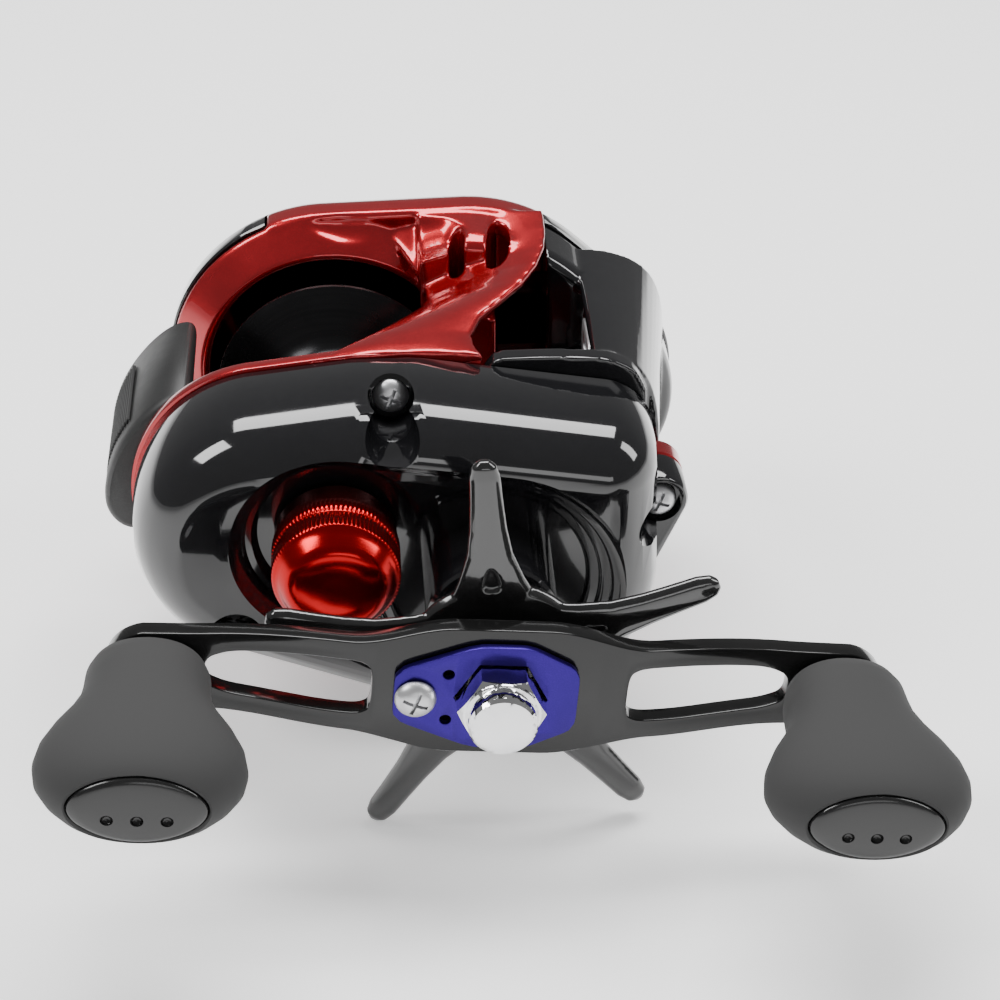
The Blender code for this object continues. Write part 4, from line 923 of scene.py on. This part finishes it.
@dataclass
class Handle:
    """Swept double arm, retainer plate, nut and screw."""

    out: float = -53.8
    thick: float = 2.6
    sweep: float = 2.8

    def place(self, u: float, v: float) -> Flat:
        """Point along and across the handle, from the spool's axis."""
        return (DRIVE[0] + u * math.cos(TILT) - v * math.sin(TILT),
                DRIVE[1] + u * math.sin(TILT) + v * math.cos(TILT))

    def half_height(self, u: float) -> float:
        """Half height of the arm at a distance from the drive axis."""
        return 9.8 - 2.8 * smooth_step(abs(u), 6.0, 20.0) - 1.2 * smooth_step(abs(u), 20.0, 42.0)

    def arm(self) -> Form:
        """The arm with its two long slots, bent towards the body at its ends."""
        steps = [-41 + 1.0 * index for index in range(83)]
        upper = [(u, self.half_height(u)) for u in reversed(steps)]
        lower = [(u, -self.half_height(u)) for u in steps]
        left = [(-45 + 5.8 * math.cos(a),
                 5.8 * math.sin(a)) for a in (math.radians(100 + 8 * k) for k in range(21))]
        right = [(45 + 5.8 * math.cos(a),
                  5.8 * math.sin(a)) for a in (math.radians(-80 + 8 * k) for k in range(21))]
        slots = []
        for side in (-1, 1):
            corners = [(side * u, h) for u, h in ((16.6, 3.2), (18.4, 4.2), (24, 4.2), (30, 3.8),
                                                  (35, 3.3), (38, 2.0))]
            slots.append(rounded(corners + [(u, -h) for u, h in reversed(corners)], 3, 0.2))
        outline = [self.place(*point) for point in upper + left + lower + right]
        form = plate([outline] + [[self.place(*point) for point in slot] for slot in slots],
                     self.out, self.out + self.thick)
        along = Vector((math.cos(TILT), 0.0, math.sin(TILT)))
        start = Vector((DRIVE[0], 0.0, DRIVE[1]))
        for index in range(17):
            for side in (-1, 1):
                everything = form.bm.verts[:] + form.bm.edges[:] + form.bm.faces[:]
                bmesh.ops.bisect_plane(form.bm, geom=everything, dist=1e-5, plane_no=along,
                                       plane_co=start + along * side * (13.0 + 1.5 * index))
        form = form.soften(0.32, 3, 60.0)
        return form.moved(lambda p: Vector((p.x, p.y + self.bend(abs((p - start).dot(along))),
                                            p.z)))

    def bend(self, reach: float) -> float:
        """How far the arm lies nearer the body at a distance from the drive axis."""
        return self.sweep * smooth_step(reach, 14.0, 37.0)

    def build(self, bench: Bench) -> None:
        """Make the arm, the retainer, the nut and the screw."""
        holes = [(Cut.TAKE, cylinder(2.45, -60.0, -48.0, DRIVE))]
        holes += [(Cut.TAKE, cylinder(1.65, -60.0, -44.0, self.place(side * 45.0, 0.0),
                                      32)) for side in (-1, 1)]
        bench.piece("handle_plate", worked(self.arm(), *holes), ARM, "handle", ("handle_arm",),
                    angle=28.0)
        outer = [(-13.8, 3.8), (-13.8, -3.8), (-3.5, -8.0), (3.5, -8.0), (10.0, -4.6), (10.0, 4.6),
                 (3.5, 8.0), (-3.5, 8.0)]
        nut = 10.0 / 2 / math.cos(math.pi / 6)
        bore = [((nut + 0.3) * math.cos(a),
                 (nut + 0.3) * math.sin(a)) for a in (math.radians(60 * k) for k in range(6))]
        small = [hull(((-6.9, side * 3.6, 0.75),), count=32) for side in (-1,
                                                                          1)] + [hull(((-11.0, 0.0,
                                                                                        1.1),),
                                                                                      count=32)]
        loops = [[self.place(*p) for p in loop] for loop in [rounded(outer, 2, 0.12), bore, *small]]
        bench.piece("retainer_plate", plate(loops, -55.1, -54.1).soften(0.12, 2), PURPLE, "handle",
                    ("handle_retainer",))
        bench.piece("retainer_pan_screw", pan_screw(self.place(-11.0, 0.0), -55.4, 2.7, 1.7, 3.0),
                    STEEL, "handle", ("retainer_screw",))
        hexagon = [self.place(nut * math.cos(a),
                              nut * math.sin(a)) for a in (math.radians(60 * k) for k in range(6))]
        chamfer = spun([(0.0, -58.6), (nut - 0.75, -58.6), (nut + 0.3, -57.9), (nut + 0.3, -54.1),
                        (0.0, -54.1)], DRIVE)
        cap = spun([(0.0, -61.55), (3.5, -61.55), (4.1, -61.3), (4.45, -60.8), (4.5, -60.2),
                    (4.5, -59.6), (4.2, -59.3), (4.2, -58.9), (4.7, -58.7), (4.7, -57.5),
                    (0.0, -57.5)], DRIVE)
        form = worked(plate([hexagon], -58.6, -54.1), (Cut.KEEP, chamfer), (Cut.ADD, cap),
                      (Cut.TAKE, cylinder(2.45, -59.9, -52.0, DRIVE)))
        bench.piece("capped_nut", form.soften(0.1, 2, 28.0), CHROME, "handle", ("handle_nut",))


@dataclass
class Knob:
    """Paddle knob with a necked rubber body and a gloss end cap."""

    side: str
    start: float = -51.5
    stations: tuple = ((0.0, 5.6, 5.0, 2.0), (0.35, 6.7, 5.8, 2.1), (1.2, 7.5, 6.4, 2.2),
                       (3.0, 8.0, 6.8, 2.3), (6.0, 8.1, 6.8, 2.4), (9.0, 8.4, 6.75, 2.5),
                       (12.0, 9.6, 6.8, 2.5), (15.0, 11.4, 7.0, 2.4), (18.0, 12.7, 7.2, 2.3),
                       (20.5, 13.1, 7.2, 2.2), (22.5, 12.8, 7.05, 2.1), (24.5, 11.7, 6.7, 2.1),
                       (26.2, 10.2, 6.1, 2.1), (27.1, 9.2, 5.5, 2.1), (27.4, 8.9, 5.2, 2.1))

    def turned(self, x: float, z: float) -> Flat:
        """Point of the knob's own width and height, set on its shaft and turned with the handle."""
        centre = KNOBS[self.side]
        return (centre[0] + x * math.cos(TILT) - z * math.sin(TILT),
                centre[1] + x * math.sin(TILT) + z * math.cos(TILT))

    def oval(self, half: float, height: float, power: float, count: int = 72) -> list[Flat]:
        """Section of the rubber body.

        Args:
            half: half its width.
            height: half its height.
            power: 2 is an ellipse, and more is squarer.
            count: points in it.

        Returns:
            The section's points.
        """
        points = []
        for k in range(count):
            a = 2 * math.pi * k / count
            c, s = math.cos(a), math.sin(a)
            points.append(self.turned(half * math.copysign(abs(c) ** (2 / power), c),
                                      height * math.copysign(abs(s) ** (2 / power), s)))
        return points

    def eye(self, grow: float = 0.0, shrink: float = 1.0, count: int = 72) -> list[Flat]:
        """Eye-shaped outline of the end cap.

        Args:
            grow: how far outside the cap it runs.
            shrink: share of the full size.
            count: points in it.

        Returns:
            The outline's points.
        """
        points = []
        for k in range(count):
            a = 2 * math.pi * k / count
            z = (4.9 + grow) * math.sin(a) * (0.82 + 0.18 * abs(math.sin(a)))
            points.append(self.turned((8.5 + grow) * shrink * math.cos(a), z * shrink))
        return points

    def build(self, bench: Bench) -> None:
        """Make the rubber body and its end cap."""
        body = "knob_" + self.side
        sections = [[(x, self.start - s, z) for x, z in self.oval(w, h, p)] for s, w, h,
                    p in self.stations]
        end = self.start - 27.4
        pocket = plate([self.eye(0.15)], end - 1.0, end + 1.1)
        bore = cylinder(3.5, end + 3.0, self.start + 1.0, KNOBS[self.side])
        rubber = worked(lofted(sections), (Cut.TAKE, pocket), (Cut.TAKE, bore))
        bench.piece(body + "_rubber", rubber.soften(0.22, 2, 50.0), RUBBER, body, (body,),
                    angle=40.0)
        dome = lofted([[(x, y, z) for x, z in self.eye(0.0, share)]
                       for y, share in ((end + 0.8, 1.0), (end + 0.1, 1.0), (end - 0.2, 0.985),
                                        (end - 0.42, 0.94), (end - 0.6, 0.82), (end - 0.72, 0.62),
                                        (end - 0.79, 0.35), (end - 0.8, 0.12))])
        dimples = []
        for x in (-3.6, 0.0, 3.6):
            bowl = spun([(0.0, end - 2.0), (1.1, end - 2.0), (0.75, end - 0.6), (0.55, end - 0.3),
                         (0.25, end - 0.12), (0.0, end - 0.08)], self.turned(x, -1.2), 40)
            dimples.append((Cut.TAKE, bowl))
        cap = worked(dome, *dimples)
        bench.piece(body + "_end_cap", cap.soften(0.05, 1, 50.0), KNOB_GLOSS, body,
                    ("knob_cap_" + self.side,), angle=35.0)


# ---- line guide -------------------------------------------------------------------------
@dataclass
class LineGuide:
    """Bright T-shaped guide that stands on the carriage."""

    def build(self, bench: Bench) -> None:
        """Make the T guide and its barrel."""
        low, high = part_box("t_guide")
        tall = (high.z - ORIGIN.z) / MM
        pivot = axis_of("t_guide_pin")
        scale = (tall - pivot[1]) / 14.0
        outer = [(-2.9, 1.0), (2.9, 1.0), (2.9, 7.0), (4.9, 8.2), (4.9, 13.0), (3.9, 14.0),
                 (-3.9, 14.0), (-4.9, 13.0), (-4.9, 8.2), (-2.9, 7.0)]
        inner = [(-1.1, 2.6), (1.1, 2.6), (1.1, 8.4), (3.5, 9.6), (3.5, 12.4), (-3.5, 12.4),
                 (-3.5, 9.6), (-1.1, 8.4)]
        loops = [[(y, z * scale) for y, z in rounded(loop, 2, 0.15)] for loop in (outer, inner)]
        form = plate(loops, -0.7, 0.7).soften(0.3, 3)
        form.moved(lambda p: Vector((p.y + pivot[0], p.x, p.z + pivot[1]))).tidy()
        barrel = cylinder(1.25, -2.7, 2.7, pivot)
        form = worked(form, (Cut.ADD, barrel), (Cut.TAKE, cylinder(0.66, -4.0, 4.0, pivot)))
        bench.piece("line_t_guide", form, STEEL, "t_guide", ("t_guide",), angle=35.0)


# ---- studio -----------------------------------------------------------------------------
@dataclass
class Studio:
    """Pale floor, soft lights and the camera."""

    azimuth: float = -3.4
    elevation: float = 33.0
    lens: float = 93.6
    camera_at: Point = (0.000838, -0.321036, 0.219403)

    def build(self) -> None:
        """Make everything round the reel."""
        self.floor()
        self.world()
        self.lamp("key_left", (-0.42, -0.12, 0.5), (0.2, 0.26), 2.4)
        self.lamp("fill_right", (0.5, -0.05, 0.36), (0.14, 0.34), 1.5)
        self.lamp("top", (0.02, 0.2, 0.62), (0.6, 0.26), 6.5)
        self.lamp("front_low", (0.1, -0.6, 0.16), (0.35, 0.1), 0.3)
        self.camera()

    def floor(self) -> None:
        """Wide pale floor just under the lowest piece."""
        low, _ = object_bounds()
        shape = bmesh.new()
        bmesh.ops.create_grid(shape, x_segments=2, y_segments=2, size=4.0)
        bmesh.ops.translate(shape, vec=(0.0, 0.0, low.z - 0.4 * MM), verts=shape.verts)
        mesh = bpy.data.meshes.new("floor")
        shape.to_mesh(mesh)
        shape.free()
        floor = bpy.data.objects.new("floor", mesh)
        bpy.context.scene.collection.objects.link(floor)
        paint = bpy.data.materials.new("floor_pale")
        paint.use_nodes = True
        paint.node_tree.nodes["Principled BSDF"].inputs["Base Color"].default_value = (0.93, 0.93,
                                                                                       0.93, 1.0)
        paint.node_tree.nodes["Principled BSDF"].inputs["Roughness"].default_value = 0.9
        paint.node_tree.nodes["Principled BSDF"].inputs["Emission Color"].default_value = (1.0, 1.0,
                                                                                           1.0, 1.0)
        paint.node_tree.nodes["Principled BSDF"].inputs["Emission Strength"].default_value = 0.5
        mesh.materials.append(paint)
        floor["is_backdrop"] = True

    def world(self) -> None:
        """Even pale surroundings."""
        world = bpy.data.worlds.new("studio")
        bpy.context.scene.world = world
        world.use_nodes = True
        back = world.node_tree.nodes["Background"]
        back.inputs["Color"].default_value = (1.0, 1.0, 1.0, 1.0)
        back.inputs["Strength"].default_value = 0.22

    def lamp(self, name: str, place: Point, size: Flat, power: float) -> None:
        """Add a soft rectangular light that looks at the reel.

        Args:
            name: the light's name.
            place: where it stands, in metres.
            size: its width and height, in metres.
            power: in watts.
        """
        data = bpy.data.lights.new(name, "AREA")
        data.shape = "RECTANGLE"
        data.size, data.size_y = size
        data.energy = power
        lamp = bpy.data.objects.new(name, data)
        lamp.location = place
        lamp.rotation_mode = "QUATERNION"
        lamp.rotation_quaternion = (Vector((0.0, 0.0, 0.02)) - Vector(place)).to_track_quat("-Z",
                                                                                            "Y")
        bpy.context.scene.collection.objects.link(lamp)

    def camera(self) -> None:
        """Camera at the viewing angle."""
        data = bpy.data.cameras.new("camera")
        data.lens = self.lens
        data.sensor_width = 36.0
        data.clip_start = 0.01
        camera = bpy.data.objects.new("camera", data)
        a, e = math.radians(self.azimuth), math.radians(self.elevation)
        back = Vector((math.sin(a) * math.cos(e), -math.cos(a) * math.cos(e), math.sin(e)))
        camera.location = self.camera_at
        camera.rotation_mode = "QUATERNION"
        camera.rotation_quaternion = (-back).to_track_quat("-Z", "Y")
        bpy.context.scene.collection.objects.link(camera)
        bpy.context.scene.camera = camera


def dress_hidden(bench: Bench) -> None:
    """Finish the CAD nodes whose own shape is shown.

    Args:
        bench: what dresses them.
    """
    bench.dress(FOOT, "reel_foot")
    bench.dress(STEEL, "foot_screw_rear", "foot_screw_front", "guide_bar", "spool_bearing_handle",
                "spool_bearing_palm", "drive_bearing_inner", "drive_bearing_outer",
                "one_way_bearing", "one_way_sleeve", "yoke_post_upper", "yoke_post_lower",
                "drive_shaft", "drag_plate", "ratchet", "drag_spring_washer", "knob_shaft_front",
                "knob_shaft_rear", "knob_screw_front", "knob_screw_rear", "spool_shaft",
                "spool_pin", "clutch_plate", "worm_shaft", "t_guide_pin")
    bench.dress(BRASS, "drive_gear", "pinion_gear", "knob_bush_front", "knob_bush_rear",
                "cast_control_spacer")
    bench.dress(PLASTIC, "worm_drive_cog", "worm_cog", "pinion_yoke", "magnet_holder", "line_guide")
    bench.dress(ALLOY, "spool_rotor")
    bench.dress(CARBON, "drag_washer")


def main() -> None:
    """Build every sub-assembly in order."""
    logging.basicConfig(level=logging.INFO, format="%(message)s")
    bench = Bench()
    for assembly in (RedFrame(), HandleCover(), Nose(), PalmCover(), SpoolSet(), ThumbBar(),
                     CastControl(), StarWheel(), Handle(), Knob("front"), Knob("rear"),
                     LineGuide()):
        assembly.build(bench)
    dress_hidden(bench)
    Studio().build()
    LOG.info("%d pieces made", len(bench.made))


if __name__ == "__main__":
    main()
